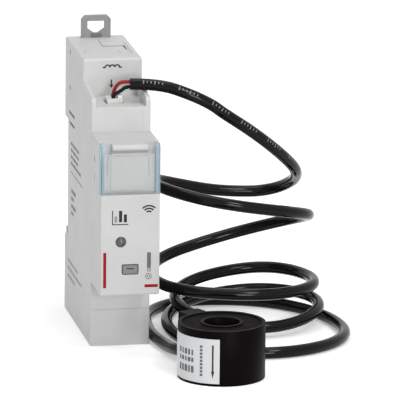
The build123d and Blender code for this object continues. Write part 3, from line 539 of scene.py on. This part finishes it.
def painted_lens_shade_mask(tree, x, y, z):
    """One at the rim of the lens and zero in its middle, by the distance from the middle: painted shade of
    the dome, darker towards its rim.
    """
    square_x = maths(tree, "POWER", maths(tree, "SUBTRACT", x, LENS_MIDDLE[0]), 2)
    square_z = maths(tree, "POWER", maths(tree, "SUBTRACT", z, LENS_MIDDLE[2]), 2)
    reach = maths(tree, "SQRT", maths(tree, "ADD", square_x, square_z))
    return spread(tree, reach, 0, 1, LENS_PALE_RADIUS, LENS_RIM_RADIUS)


def window_finish(name, tints):
    """Clear window plastic: nearly unseen over its plate, and blue in the arms, which are seen edge on.

    The bands come from the distance to the middle plane, and the line at the foot from the height, in
    Object coordinates. A band at the edge or the foot runs a millimetre past it.
    """
    material, tree, shader = new_material(name)
    set_inputs(shader, {"Roughness": 0.10, "IOR": 1.49})
    x, _, z = axis_values(tree)
    side = maths(tree, "ABSOLUTE", x)
    past = WINDOW_EDGE + MM
    foot = within(tree, z, WINDOW_FOOT - MM, WINDOW_FOOT + FOOT_LINE_HEIGHT, BAND_SOFTNESS)
    arm = within(tree, side, WINDOW_EDGE - ARM_WIDTH, past, BAND_SOFTNESS)
    outer_line = within(tree, side, WINDOW_EDGE - OUTER_LINE_WIDTH, past, OUTER_LINE_SOFTNESS)
    inner_line = within(tree, side, WINDOW_EDGE - INNER_LINE_TO, WINDOW_EDGE - INNER_LINE_FROM, BAND_SOFTNESS)
    lines = outer_line
    for line, strength in ((inner_line, INNER_LINE_STRENGTH), (foot, FOOT_LINE_STRENGTH)):
        lines = maths(tree, "MAXIMUM", lines, maths(tree, "MULTIPLY", line, strength))
    shown = maths(tree, "MAXIMUM", arm, foot)
    cloud = spread(tree, noise(tree, coordinates(tree, (1, 1, 0.5)), CLOUD_SCALE), CLOUD_LEAST, 1.0)
    banded = blend_colours(tree, maths(tree, "MULTIPLY", lines, cloud), tints.pale, tints.deep)
    tinted = blend_colours(tree, arm, tints.foot, banded)
    tree.links.new(blend_colours(tree, shown, tints.clear, tinted), shader.inputs["Base Color"])
    alpha = spread(tree, maths(tree, "ADD", shown, lines), CLEAR_ALPHA, TINTED_ALPHA, 0, 2)
    tree.links.new(alpha, shader.inputs["Alpha"])
    return material


def start_heading():
    """Heading of the lead at the first station: to the right across the front, falling at the first slope."""
    return unit(np.array((1.0, 0.0, FIRST_SLOPE)))


def station_headings():
    """Heading at each station: square to its side of the turn, with the climb that its neighbours give."""
    stations = np.array(TURN_STATIONS)
    last = len(stations) - 1
    headings = [start_heading()]
    for index in range(1, last + 1):
        before, here, after = stations[index - 1], stations[index], stations[min(index + 1, last)]
        chords = np.linalg.norm((here - before)[:2]) + np.linalg.norm((after - here)[:2])
        slope = 0 if index >= FLAT_FROM else (after[2] - before[2]) / (QUARTER_OVER_CHORD * chords)
        headings.append(unit(QUARTER_WAYS[index % 4] + np.array((0, 0, slope))))
    return headings


def arc_points(start, heading, end):
    """Points on the circular arc that leaves start with the heading and passes end, without end itself."""
    chord = end - start
    length = np.linalg.norm(chord)
    half_turn = math.acos(min(1.0, chord @ heading / length))
    radius = length / (2 * math.sin(half_turn))
    inwards = unit(chord - (chord @ heading) * heading)
    turn = (2 * half_turn * np.arange(POINTS_PER_ARC) / POINTS_PER_ARC)[:, None]
    return start + radius * (np.sin(turn) * heading + (1 - np.cos(turn)) * inwards)


def turn_points():
    """Route through the loops: two tangent arcs, a biarc, from each quarter-turn station to the next."""
    stations, headings = np.array(TURN_STATIONS), station_headings()
    points = []
    for start, end, leave, arrive in zip(stations[:-1], stations[1:], headings[:-1], headings[1:]):
        chord = end - start
        widening = 2 * (1 - leave @ arrive)
        along = chord @ (leave + arrive)
        reach = (math.sqrt(along**2 + widening * (chord @ chord)) - along) / widening
        first, second = start + leave * reach, end - arrive * reach
        joint = (first + second) / 2
        points += [arc_points(start, leave, joint), arc_points(joint, unit(second - first), end)]
    return np.concatenate(points + [stations[-1:]])


def cable_route():
    """Points of the whole lead: the free stretch over the cheek, the loops, and the tail to the boss."""
    coil_start = np.array(TURN_STATIONS[0]) - start_heading() * 2 * CABLE_RADIUS
    lead = [
        JACKET_END,
        JACKET_END + unit(JACKET_HEADING) * JACKET_RUN + JACKET_RISE,
        coil_start + COIL_APPROACH,
        coil_start,
    ]
    turns = turn_points()
    turns[1:4, 2] += FIRST_TURN_LIFT
    boss_heading = np.array((-math.cos(BOSS_ANGLE), -math.sin(BOSS_ANGLE), 0))
    boss_tip = np.array((SENSOR_X, SENSOR_Y, BOSS_ENTRY_Z)) - boss_heading * BOSS_REACH
    return np.concatenate((lead, turns, TAIL_POINTS, (boss_tip - boss_heading * BOSS_RUN, boss_tip)))


def route_curve(name, points, radius):
    """One open NURBS curve of order 3 through the ends of its control points, with a round bevel."""
    curve = bpy.data.curves.new(name, "CURVE")
    curve.dimensions = "3D"
    spline = curve.splines.new("NURBS")
    spline.points.add(len(points) - 1)
    spline.points.foreach_set("co", np.column_stack((points, np.ones(len(points)))).ravel())
    spline.order_u = 3
    spline.use_endpoint_u = True
    spline.resolution_u = 6
    curve.bevel_depth = radius
    curve.bevel_resolution = 6
    curve.use_fill_caps = True
    return curve


def curve_line(curve):
    """Points along a curve's own line, read from a copy of it with no bevel."""
    bare = curve.copy()
    bare.bevel_depth = 0
    holder = bpy.data.objects.new("bare_line", bare)
    mesh = bpy.data.meshes.new_from_object(holder)
    line = np.empty(3 * len(mesh.vertices))
    mesh.vertices.foreach_get("co", line)
    bpy.data.meshes.remove(mesh)
    bpy.data.objects.remove(holder)
    bpy.data.curves.remove(bare)
    return line.reshape(-1, 3)


def colour_setting(name, description, default):
    """Setting that holds a colour."""
    return bpy.props.FloatVectorProperty(
        name=name, description=description, subtype="COLOR", size=3, min=0, max=1, default=default
    )


def length_setting(name, description, default):
    """Setting that holds a small length."""
    return bpy.props.FloatProperty(
        name=name, description=description, unit="LENGTH", min=0, precision=6, default=default
    )


def angle_setting(name, description, degrees):
    """Setting that holds an angle."""
    return bpy.props.FloatProperty(
        name=name, description=description, subtype="ANGLE", default=math.radians(degrees)
    )


class MeterPrintSettings(bpy.types.PropertyGroup):
    """Inks and thickness of the marks printed on the module, the label and the jacket."""

    dark_ink: colour_setting("Dark ink", "Colour of the symbols and arrows", (0.030, 0.030, 0.034))
    mid_ink: colour_setting("Grey ink", "Colour of the scale and of most bars", (0.15, 0.15, 0.16))
    pale_ink: colour_setting("Pale ink", "Colour of the chart's first bar and low rows", (0.30, 0.30, 0.31))
    red_ink: colour_setting("Red ink", "Colour of the accent lines", (0.33, 0.008, 0.020))
    mark_ink: colour_setting("Length marks", "Colour of the marks on the jacket", (0.20, 0.20, 0.20))
    thickness: length_setting("Ink thickness", "How far a print stands out", 0.02 * MM)


class MeterPlasticSettings(bpy.types.PropertyGroup):
    """Colours of the module's mouldings and its card, and the greys of the shade painted in its seam, its
    gaps and its lens.
    """

    housing: colour_setting("Housing", "Grey of the two housing halves", (0.60, 0.60, 0.597))
    cover: colour_setting("Nose cover", "Grey of the nose cover", (0.575, 0.575, 0.572))
    latch: colour_setting("Rail latch", "Grey of the latch", (0.255, 0.255, 0.255))
    # Painted shade of the seam's gap
    seam: colour_setting("Seam shade", "Colour in the seam of the housing halves", (0.03, 0.03, 0.03))
    card: colour_setting("Label card", "White of the card behind the window", (0.58, 0.58, 0.575))
    # The lens's two greys paint the dome's shade: paler in the middle, darker towards the rim
    lens: colour_setting("Light's lens", "Grey of the middle of the smoked lens", (0.10, 0.10, 0.105))
    lens_rim_shade: colour_setting("Lens rim", "Grey of the lens towards its rim", (0.055, 0.055, 0.06))
    button: colour_setting("Button", "Grey of the button's face", (0.205, 0.205, 0.21))
    # Painted shade of the gap round the button's cap
    button_gap_shade: colour_setting("Button rim", "Grey of the rim of the button's cap", (0.085, 0.085, 0.09))
    edge_width: length_setting("Edge rounding", "Width of the rounding on moulded edges", 0.10 * MM)


class LabelWindowSettings(bpy.types.PropertyGroup):
    """Tints of the clear window."""

    clear: colour_setting("Plate", "Tint of the clear plate", (0.64, 0.67, 0.69))
    pale: colour_setting("Arms", "Blue of the arms between their lines", (0.60, 0.74, 0.80))
    deep: colour_setting("Lines", "Blue of the lines along the arms", (0.10, 0.25, 0.31))
    foot: colour_setting("Foot line", "Grey of the line at the foot", (0.33, 0.36, 0.38))


class SensorLeadSettings(bpy.types.PropertyGroup):
    """Colours of the ring sensor, its lead and its plug."""

    plug: colour_setting("Plug", "White of the plug", (0.70, 0.70, 0.68))
    jacket: colour_setting("Jacket", "Black of the lead's jacket", (0.0030, 0.0030, 0.0032))
    case: colour_setting("Sensor case", "Black of the sensor's cup", (0.0032, 0.0024, 0.0023))
    resin: colour_setting("Sensor resin", "Brown black of the cast resin", (0.0085, 0.0058, 0.0058))
    label: colour_setting("Label film", "Silver grey of the sensor's label", (0.67, 0.68, 0.69))
    edge_width: length_setting("Cup's rounding", "Width of the rounding on the cup's edges", 0.15 * MM)


class MeterStudioSettings(bpy.types.PropertyGroup):
    """Camera and light of the picture."""

    lens: bpy.props.FloatProperty(
        name="Lens", description="Focal length on a 36 mm sensor", unit="CAMERA", min=1, max=2000,
        default=612.3,
    )
    camera_place: bpy.props.FloatVectorProperty(
        name="Camera place", description="Where the camera stands", subtype="XYZ", unit="LENGTH", size=3,
        default=(-0.32293, -1.94364, 0.49864),
    )
    yaw: angle_setting("Yaw", "Turn of the view about the vertical", -10.237)
    pitch: angle_setting("Pitch", "How far the view looks down", 13.142)
    roll: angle_setting("Roll", "Tilt of the camera about its view", 0.512)
    world_level: bpy.props.FloatProperty(
        name="World level", description="Strength of the even light from all round", min=0, default=0.435
    )


class METER_OT_housing(bpy.types.Operator):
    """Finish the housing halves, the nose cover, the rivets and the rail latch"""

    bl_idname = "meter.housing"
    bl_label = "Housing"

    def execute(self, context):
        plastic = context.scene.meter_plastic
        # The housing's seam is darkened with painted shade
        shell = overlay(finish("Housing_plastic", plastic.housing, 0.5), plastic.seam, painted_seam_shade_mask)
        # The cover is darkened under its hinge barrel with painted shade
        cover = overlay(finish("Cover_plastic", plastic.cover, 0.46), shaded(plastic.cover, 0.6), hinge_gap_shade_mask)
        latch = finish(
            "Latch_plastic", plastic.latch, 0.42, grain=1400, depth=0.03, mottle=0.14, stretch=(1, 1, 0.4)
        )
        for node, material in (
            ("left_shell", shell),
            ("right_shell", shell),
            ("front_cover", cover),
            ("case_rivets", finish("Rivet_plastic", shaded(plastic.housing, 0.8), 0.55)),
            # The latch is darkened under its tool hole with painted shade
            ("rail_latch", overlay(latch, shaded(plastic.latch, 0.5), latch_hole_shade_mask)),
        ):
            dress(node, material)
        for node in ("front_cover", "rail_latch"):
            soften(node, plastic.edge_width)
        return {"FINISHED"}


class METER_OT_window(bpy.types.Operator):
    """Finish the hinged label window and the card behind it"""

    bl_idname = "meter.window"
    bl_label = "Label window"

    def execute(self, context):
        plastic = context.scene.meter_plastic
        dress("label_window", window_finish("Window_plastic", context.scene.label_window))
        soften("label_window", plastic.edge_width)
        dress("label_card", finish("Card_paper", plastic.card, 0.8, grain=1800, depth=0.01))
        return {"FINISHED"}


class METER_OT_controls(bpy.types.Operator):
    """Finish the lens, the light behind it, the reset button and its switch"""

    bl_idname = "meter.controls"
    bl_label = "Light and button"

    def execute(self, context):
        plastic = context.scene.meter_plastic
        lens = finish("Lens_smoke", plastic.lens, 0.24, depth=0.002)
        # The lens is darkened towards its rim with painted shade of the dome
        dress("led_lens", overlay(lens, plastic.lens_rim_shade, painted_lens_shade_mask))
        dress("status_led", finish("Led_resin", (0.6, 0.64, 0.6), 0.2))
        button = finish("Button_plastic", plastic.button, 0.42)
        # The rim of the button's cap is darkened with painted shade of the gap round it
        dress("reset_button", overlay(button, plastic.button_gap_shade, painted_button_gap_mask))
        dress("reset_switch", finish("Switch_plastic", (0.03, 0.03, 0.03), 0.5))
        dash = rounded_bar(BUTTON_MIDDLE + np.array((0.0, 0.25)), (2.2, 0.34), 0.1)
        dark = ink("button", context.scene.meter_print.dark_ink)
        add_print("button_dash", [dash], on_front(BUTTON_FRONT), dark, body="button")
        return {"FINISHED"}


class METER_OT_front_prints(bpy.types.Operator):
    """Print the symbols and lines on the nose cover"""

    bl_idname = "meter.front_prints"
    bl_label = "Front prints"

    def execute(self, context):
        inks = context.scene.meter_print
        dark = ink("dark", inks.dark_ink)
        for name, outlines, material in (
            ("chart_symbol", self.chart_outlines(), dark),
            ("chart_first_bar", [rounded_bar((-4.25, 42.3), (0.8, 1.9), 0.08)], ink("pale", inks.pale_ink)),
            ("wireless_symbol", self.wave_outlines(), dark),
            ("load_scale", self.scale_outlines(), ink("grey", inks.mid_ink)),
            ("accent_lines", self.accent_outlines(), ink("red", inks.red_ink, 0.45)),
        ):
            add_print(name, outlines, on_front(NOSE_FRONT), material)
        return {"FINISHED"}

    def chart_outlines(self):
        """The two axes of a bar chart, and its second and third bar."""
        left, foot, line = -5.25, 40.75, 0.28
        return [
            stroke((left, 45.0), (left, foot), line),
            stroke((left - 0.13, foot), (-0.55, foot), line),
            rounded_bar((-2.87, 43.15), (0.92, 3.4), 0.08),
            rounded_bar((-1.45, 42.55), (0.88, 2.4), 0.08),
        ]

    def wave_outlines(self):
        """Three arcs round one centre, each 92 degrees wide."""
        return [
            arc_band((5.5, 43.55), radius, 0.45, start=44, end=136) for radius in (0.95, 1.78, 2.6)
        ]

    def scale_outlines(self):
        """A solid bar over a square frame and two rings round one centre."""
        ring_centre = (5.46, 25.0)
        return [
            rounded_bar((5.6, 29.85), (1.15, 4.6), 0.1),
            *square_frame((5.6, 26.95), 1.0, 0.22),
            arc_band(ring_centre, 0.85, 0.2, start=0, end=359, steps=36),
            arc_band(ring_centre, 0.35, 0.18, start=0, end=359),
        ]

    def accent_outlines(self):
        """The upright line at the lower left and the level line at the lower right."""
        return [
            rounded_bar((-7.48, 27.1), (0.90, 10.6), 0.05),
            rounded_bar((6.3, 22.1), (3.95, 0.9), 0.05),
        ]


class METER_OT_side_prints(bpy.types.Operator):
    """Print plain rows of bars and a ruled line on the left side"""

    bl_idname = "meter.side_prints"
    bl_label = "Side prints"

    def execute(self, context):
        inks = context.scene.meter_print
        # Each row: its start and end across, its height, and the height of its bars, in millimetres
        rows = (
            (-13.0, 3.2, 53.2, 0.9),
            (-13.0, 4.6, 51.2, 0.9),
            (-13.0, 1.0, 49.2, 0.9),
            (-13.0, 5.4, 47.2, 0.9),
            (-12.0, -3.6, 38.9, 1.2),
            (-12.0, -4.8, 36.6, 1.2),
            (-12.0, -3.8, 34.3, 1.2),
            (-12.0, -5.4, 32.2, 1.0),
        )
        low_rows = ((-18.0, 0.5, 16.4, 0.9), (-18.0, 8.4, 14.0, 0.9), (-18.0, -4.0, 11.6, 0.9))
        ruled_line = rounded_bar((-2.5, 44.4), (21.0, 0.3), 0.1, steps=3)
        for name, outlines, colour in (
            ("side_field", [*bar_rows(rows), ruled_line], inks.mid_ink),
            ("side_low_field", bar_rows(low_rows), inks.pale_ink),
        ):
            add_print(name, outlines, on_left(LEFT_SIDE), ink(name, colour))
        return {"FINISHED"}


class METER_OT_head_prints(bpy.types.Operator):
    """Print the coil symbol and the arrow above the socket"""

    bl_idname = "meter.head_prints"
    bl_label = "Head prints"

    def execute(self, context):
        dark = ink("head", context.scene.meter_print.dark_ink)
        place = on_front(HEAD_FRONT)
        add_print("coil_symbol", self.coil_outlines(), place, dark)
        add_print("socket_arrow", self.arrow_outlines(), place, dark)
        return {"FINISHED"}

    def coil_outlines(self):
        """Three half rings side by side, with a straight stroke at each end."""
        up, line = 80.6, 0.42
        turns = [arc_band((x, up), 0.72, line, start=0, end=180) for x in (-1.54, -0.1, 1.34)]
        return turns + [stroke((start, up), (start + 0.95, up), line) for start in (-3.0, 1.85)]

    def arrow_outlines(self):
        """A stroke that ends in a triangle pointing down."""
        x, neck, tip, half_head = -0.35, 75.4, 74.3, 0.65
        head = np.array(((x - half_head, neck), (x, tip), (x + half_head, neck)))
        return [stroke((x, 76.9), (x, neck), 0.38), head]


class METER_OT_cable(bpy.types.Operator):
    """Lay the sensor's lead from the plug to the sensor, with its plug, its cores and its length marks"""

    bl_idname = "meter.cable"
    bl_label = "Sensor lead"

    def execute(self, context):
        lead = context.scene.sensor_lead
        dress("coil_plug", finish("Plug_plastic", lead.plug, 0.38))
        jacket = finish(
            "Jacket_black", lead.jacket, 0.13, grain=1500, depth=0.001, mottle=0.15, specular=0.17
        )
        cable = add_piece(route_curve("sensor_lead", cable_route(), CABLE_RADIUS), jacket)
        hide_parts("sensor_cable_lead", "sensor_cable_coil", "sensor_cable_tail")
        marks = self.add_marks(context.scene.meter_print.mark_ink, curve_line(cable.data))
        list(self.add_cores())
        return {"FINISHED"}

    def add_cores(self):
        """Two insulated cores on smooth curves from the plug into the jacket's end."""
        heading = unit(JACKET_HEADING)
        cores = []
        for name, start, rise, end_run, colour in CORES:
            end = JACKET_END + np.array((0, 0, rise * MM))
            points = (*(np.array(start) * MM + CORES_START), end - heading * end_run * MM, end)
            insulation = finish(f"Core_{name}", colour, 0.32, depth=0.006, specular=0.12)
            core = add_piece(route_curve(f"{name}_core_wire", points, CORE_RADIUS), insulation)
            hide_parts(f"{name}_core")
            cores.append(core)
        return cores

    def add_marks(self, colour, line):
        """Groups of plain length marks along the jacket's first stretch, each a bar bent round the lead."""
        bars = [
            (MARK_START + group * MARK_GROUP_PITCH + tick * MARK_PITCH, 0.0, MARK_WIDTH, height)
            for group in range(MARK_GROUPS)
            for tick, height in enumerate(MARK_HEIGHTS)
        ]
        place = on_tube(line, CABLE_RADIUS, unit(MARK_FACING))
        return add_piece(patch_mesh("jacket_marks", bars, place, MARK_LIFT), finish("Ink_marks", colour, 0.5))


class METER_OT_sensor(bpy.types.Operator):
    """Finish the ring sensor, its resin and its label, and print the label"""

    bl_idname = "meter.sensor"
    bl_label = "Ring sensor"

    def execute(self, context):
        lead = context.scene.sensor_lead
        case = finish("Sensor_plastic", lead.case, 0.42, grain=1800, mottle=0.2, specular=0.03)
        resin = finish("Sensor_resin", lead.resin, 0.50, grain=700, depth=0.03, mottle=0.2, specular=0.01)
        for node, material in (
            ("sensor_case", case),
            ("sensor_potting", resin),
            ("sensor_core", finish("Core_alloy", (0.35, 0.35, 0.37), 0.35, metal=1.0)),
            ("sensor_winding", finish("Winding_enamel", (0.33, 0.10, 0.03), 0.3, stretch=(1, 1, 0.05))),
            ("sensor_label", finish("Label_film", lead.label, 0.36, grain=900, depth=0.006, mottle=0.04)),
        ):
            dress(node, material)
        soften("sensor_case", lead.edge_width)
        inks = context.scene.meter_print
        place = on_sensor(SENSOR_RADIUS + LABEL_LIFT)
        top, low = LABEL_TOP / MM - 1.7, LABEL_FOOT / MM + 1.5
        add_print("flow_arrow", self.arrow_outlines(top, low), place, ink("label", inks.dark_ink))
        add_print("label_rules", self.rule_outlines(top), place, ink("rule", inks.mid_ink))
        return {"FINISHED"}

    def arrow_outlines(self, top, low):
        """Arrow of the current's direction along the label's edge: a stroke and a triangle pointing down."""
        across, half_head = -4.85, 0.48
        head = np.array(((across - half_head, low + 2.2), (across, low), (across + half_head, low + 2.2)))
        return [stroke((across, top), (across, low + 1.6), 0.5), head]

    def rule_outlines(self, top):
        """A column of nine plain bars, and three rows of five, each row with its own height and widths."""
        column = [
            rounded_bar((-8.4, top - 0.7 - step * 1.05), (0.85, 0.75), 0.1, steps=3) for step in range(9)
        ]
        rows = [
            rounded_bar((x, top - down), (width, height), 0.1, steps=3)
            for down, height, widths in (
                (2.9, 1.7, (1.0, 0.7, 1.1, 0.8, 0.6)),
                (5.1, 1.3, (0.8, 1.1, 0.7, 1.1, 0.8)),
                (7.9, 2.0, (1.1, 0.9, 1.2, 0.7, 1.0)),
            )
            for x, width in zip((-17.2, -15.7, -14.2, -12.8, -11.5), widths)
        ]
        return column + rows


class METER_OT_inside(bpy.types.Operator):
    """Finish what the housing holds: board, supply, socket and terminals"""

    bl_idname = "meter.inside"
    bl_label = "Inside"

    def execute(self, context):
        for node, material in (
            ("main_board", finish("Board_mask", (0.02, 0.13, 0.05), 0.35, grain=600, depth=0.03)),
            ("radio_module", finish("Radio_can", (0.6, 0.6, 0.6), 0.35, metal=1.0)),
            ("supply_transformer", finish("Transformer_ferrite", (0.05, 0.05, 0.05), 0.6)),
            ("smoothing_capacitor", finish("Capacitor_sleeve", (0.03, 0.035, 0.06), 0.3)),
            ("coil_socket", finish("Socket_plastic", (0.45, 0.45, 0.43), 0.5)),
            ("terminal_block", finish("Terminal_plastic", (0.35, 0.35, 0.35), 0.5)),
            ("supply_clamps", finish("Clamp_plating", (0.6, 0.57, 0.5), 0.3, metal=1.0, stretch=(1, 0.1, 1))),
        ):
            dress(node, material)
        return {"FINISHED"}


class METER_OT_stage(bpy.types.Operator):
    """Set the floor, the light and the camera"""

    bl_idname = "meter.stage"
    bl_label = "Stage"

    def execute(self, context):
        studio = context.scene.meter_studio
        self.add_floor(context)
        self.light_world(context.scene, studio.world_level)
        for lamp in LAMPS:
            self.add_lamp(context, *lamp)
        self.add_camera(context, studio)
        return {"FINISHED"}

    def add_floor(self, context):
        """Floor: one level square about the origin, wide enough to fill the view, aglow where it is seen."""
        corners = np.array(((-1, -1, 0), (1, -1, 0), (1, 1, 0), (-1, 1, 0)), float) * FLOOR_REACH
        mesh = new_mesh("Floor", corners, [(0, 1, 2, 3)])
        material, tree, shader = new_material("Floor_paper")
        set_inputs(shader, {
            "Base Color": (0.9, 0.9, 0.9, 1),
            "Roughness": 0.9,
            "Specular IOR Level": 0.0,
            "Emission Color": (1, 1, 1, 1),
        })
        tree.links.new(spread(tree, self.seen(tree), 0, FLOOR_GLOW, 0, 1), shader.inputs["Emission Strength"])
        mesh.materials.append(material)
        floor = bpy.data.objects.new("Floor", mesh)
        context.scene.collection.objects.link(floor)

    def seen(self, tree):
        """One for a ray that shows the background: from the camera, off gloss or through clear plastic."""
        path = add_node(tree, "ShaderNodeLightPath")
        rays = [path.outputs[f"Is {kind} Ray"] for kind in ("Camera", "Glossy", "Transmission")]
        return maths(tree, "MAXIMUM", rays[0], maths(tree, "MAXIMUM", *rays[1:]))

    def light_world(self, scene, level):
        """Even white light, and plain white where the camera looks past the floor."""
        world = bpy.data.worlds.new("Studio")
        scene.world = world
        world.use_nodes = True
        tree = world.node_tree
        background = tree.nodes["Background"]
        set_inputs(background, {"Color": (1, 1, 1, 1)})
        tree.links.new(spread(tree, self.seen(tree), level, 1.0, 0, 1), background.inputs["Strength"])

    def add_lamp(self, context, name, place, size, power):
        """Square area lamp that looks at the module."""
        lamp = bpy.data.lights.new(name, "AREA")
        lamp.size = size
        lamp.energy = power
        holder = bpy.data.objects.new(name, lamp)
        back = unit(np.array(place) - LAMP_TARGET)
        right = unit(np.cross((0, 0, 1), back))
        self.put(holder, right, np.cross(back, right), back, place)
        context.scene.collection.objects.link(holder)

    def add_camera(self, context, studio):
        """Camera from its place and its three angles."""
        data = bpy.data.cameras.new("Camera")
        data.sensor_width = 36.0
        data.lens = studio.lens
        camera = bpy.data.objects.new("Camera", data)
        yaw, pitch, roll = studio.yaw, studio.pitch, studio.roll
        back = np.array((math.sin(yaw) * math.cos(pitch), -math.cos(yaw) * math.cos(pitch), math.sin(pitch)))
        right = np.array((math.cos(yaw), math.sin(yaw), 0.0))
        up = np.cross(back, right)
        rolled_right = math.cos(roll) * right + math.sin(roll) * up
        rolled_up = -math.sin(roll) * right + math.cos(roll) * up
        self.put(camera, rolled_right, rolled_up, back, studio.camera_place)
        context.scene.collection.objects.link(camera)
        context.scene.camera = camera

    def put(self, holder, right, up, back, place):
        """Sets an object's matrix from its three axes and its place."""
        matrix = np.identity(4)
        matrix[:3] = np.column_stack((right, up, back, place))
        holder.matrix_world = Matrix(matrix.tolist())


SETTINGS = {
    "meter_print": MeterPrintSettings,
    "meter_plastic": MeterPlasticSettings,
    "label_window": LabelWindowSettings,
    "sensor_lead": SensorLeadSettings,
    "meter_studio": MeterStudioSettings,
}
OPERATORS = (
    METER_OT_stage,
    METER_OT_cable,
    METER_OT_housing,
    METER_OT_window,
    METER_OT_controls,
    METER_OT_front_prints,
    METER_OT_side_prints,
    METER_OT_head_prints,
    METER_OT_sensor,
    METER_OT_inside,
)


class METER_PT_panel(bpy.types.Panel):
    """Sizes, colours and steps of the meter"""

    bl_idname = "METER_PT_panel"
    bl_label = "Energy meter"
    bl_space_type = "VIEW_3D"
    bl_region_type = "UI"
    bl_category = "Meter"

    def draw(self, context):
        for setting in SETTINGS:
            group = getattr(context.scene, setting)
            box = self.layout.box()
            for name in group.bl_rna.properties.keys():
                if name not in ("rna_type", "name"):
                    box.prop(group, name)
        for operator in OPERATORS:
            self.layout.operator(operator.bl_idname)


CLASSES = (*SETTINGS.values(), *OPERATORS, METER_PT_panel)


def register():
    """Registers the settings, the steps and the panel."""
    for entry in CLASSES:
        bpy.utils.register_class(entry)
    for name, group in SETTINGS.items():
        setattr(bpy.types.Scene, name, bpy.props.PointerProperty(type=group))


def unregister():
    """Takes the settings, the steps and the panel out again."""
    for name in SETTINGS:
        delattr(bpy.types.Scene, name)
    for entry in reversed(CLASSES):
        bpy.utils.unregister_class(entry)


def main():
    """Registers the settings, sets the plain view transform and runs every step in order."""
    register()
    bpy.context.scene.view_settings.view_transform = "Standard"
    for operator in OPERATORS:
        getattr(bpy.ops.meter, operator.bl_idname.split(".")[1])()


if __name__ == "__main__":
    main()
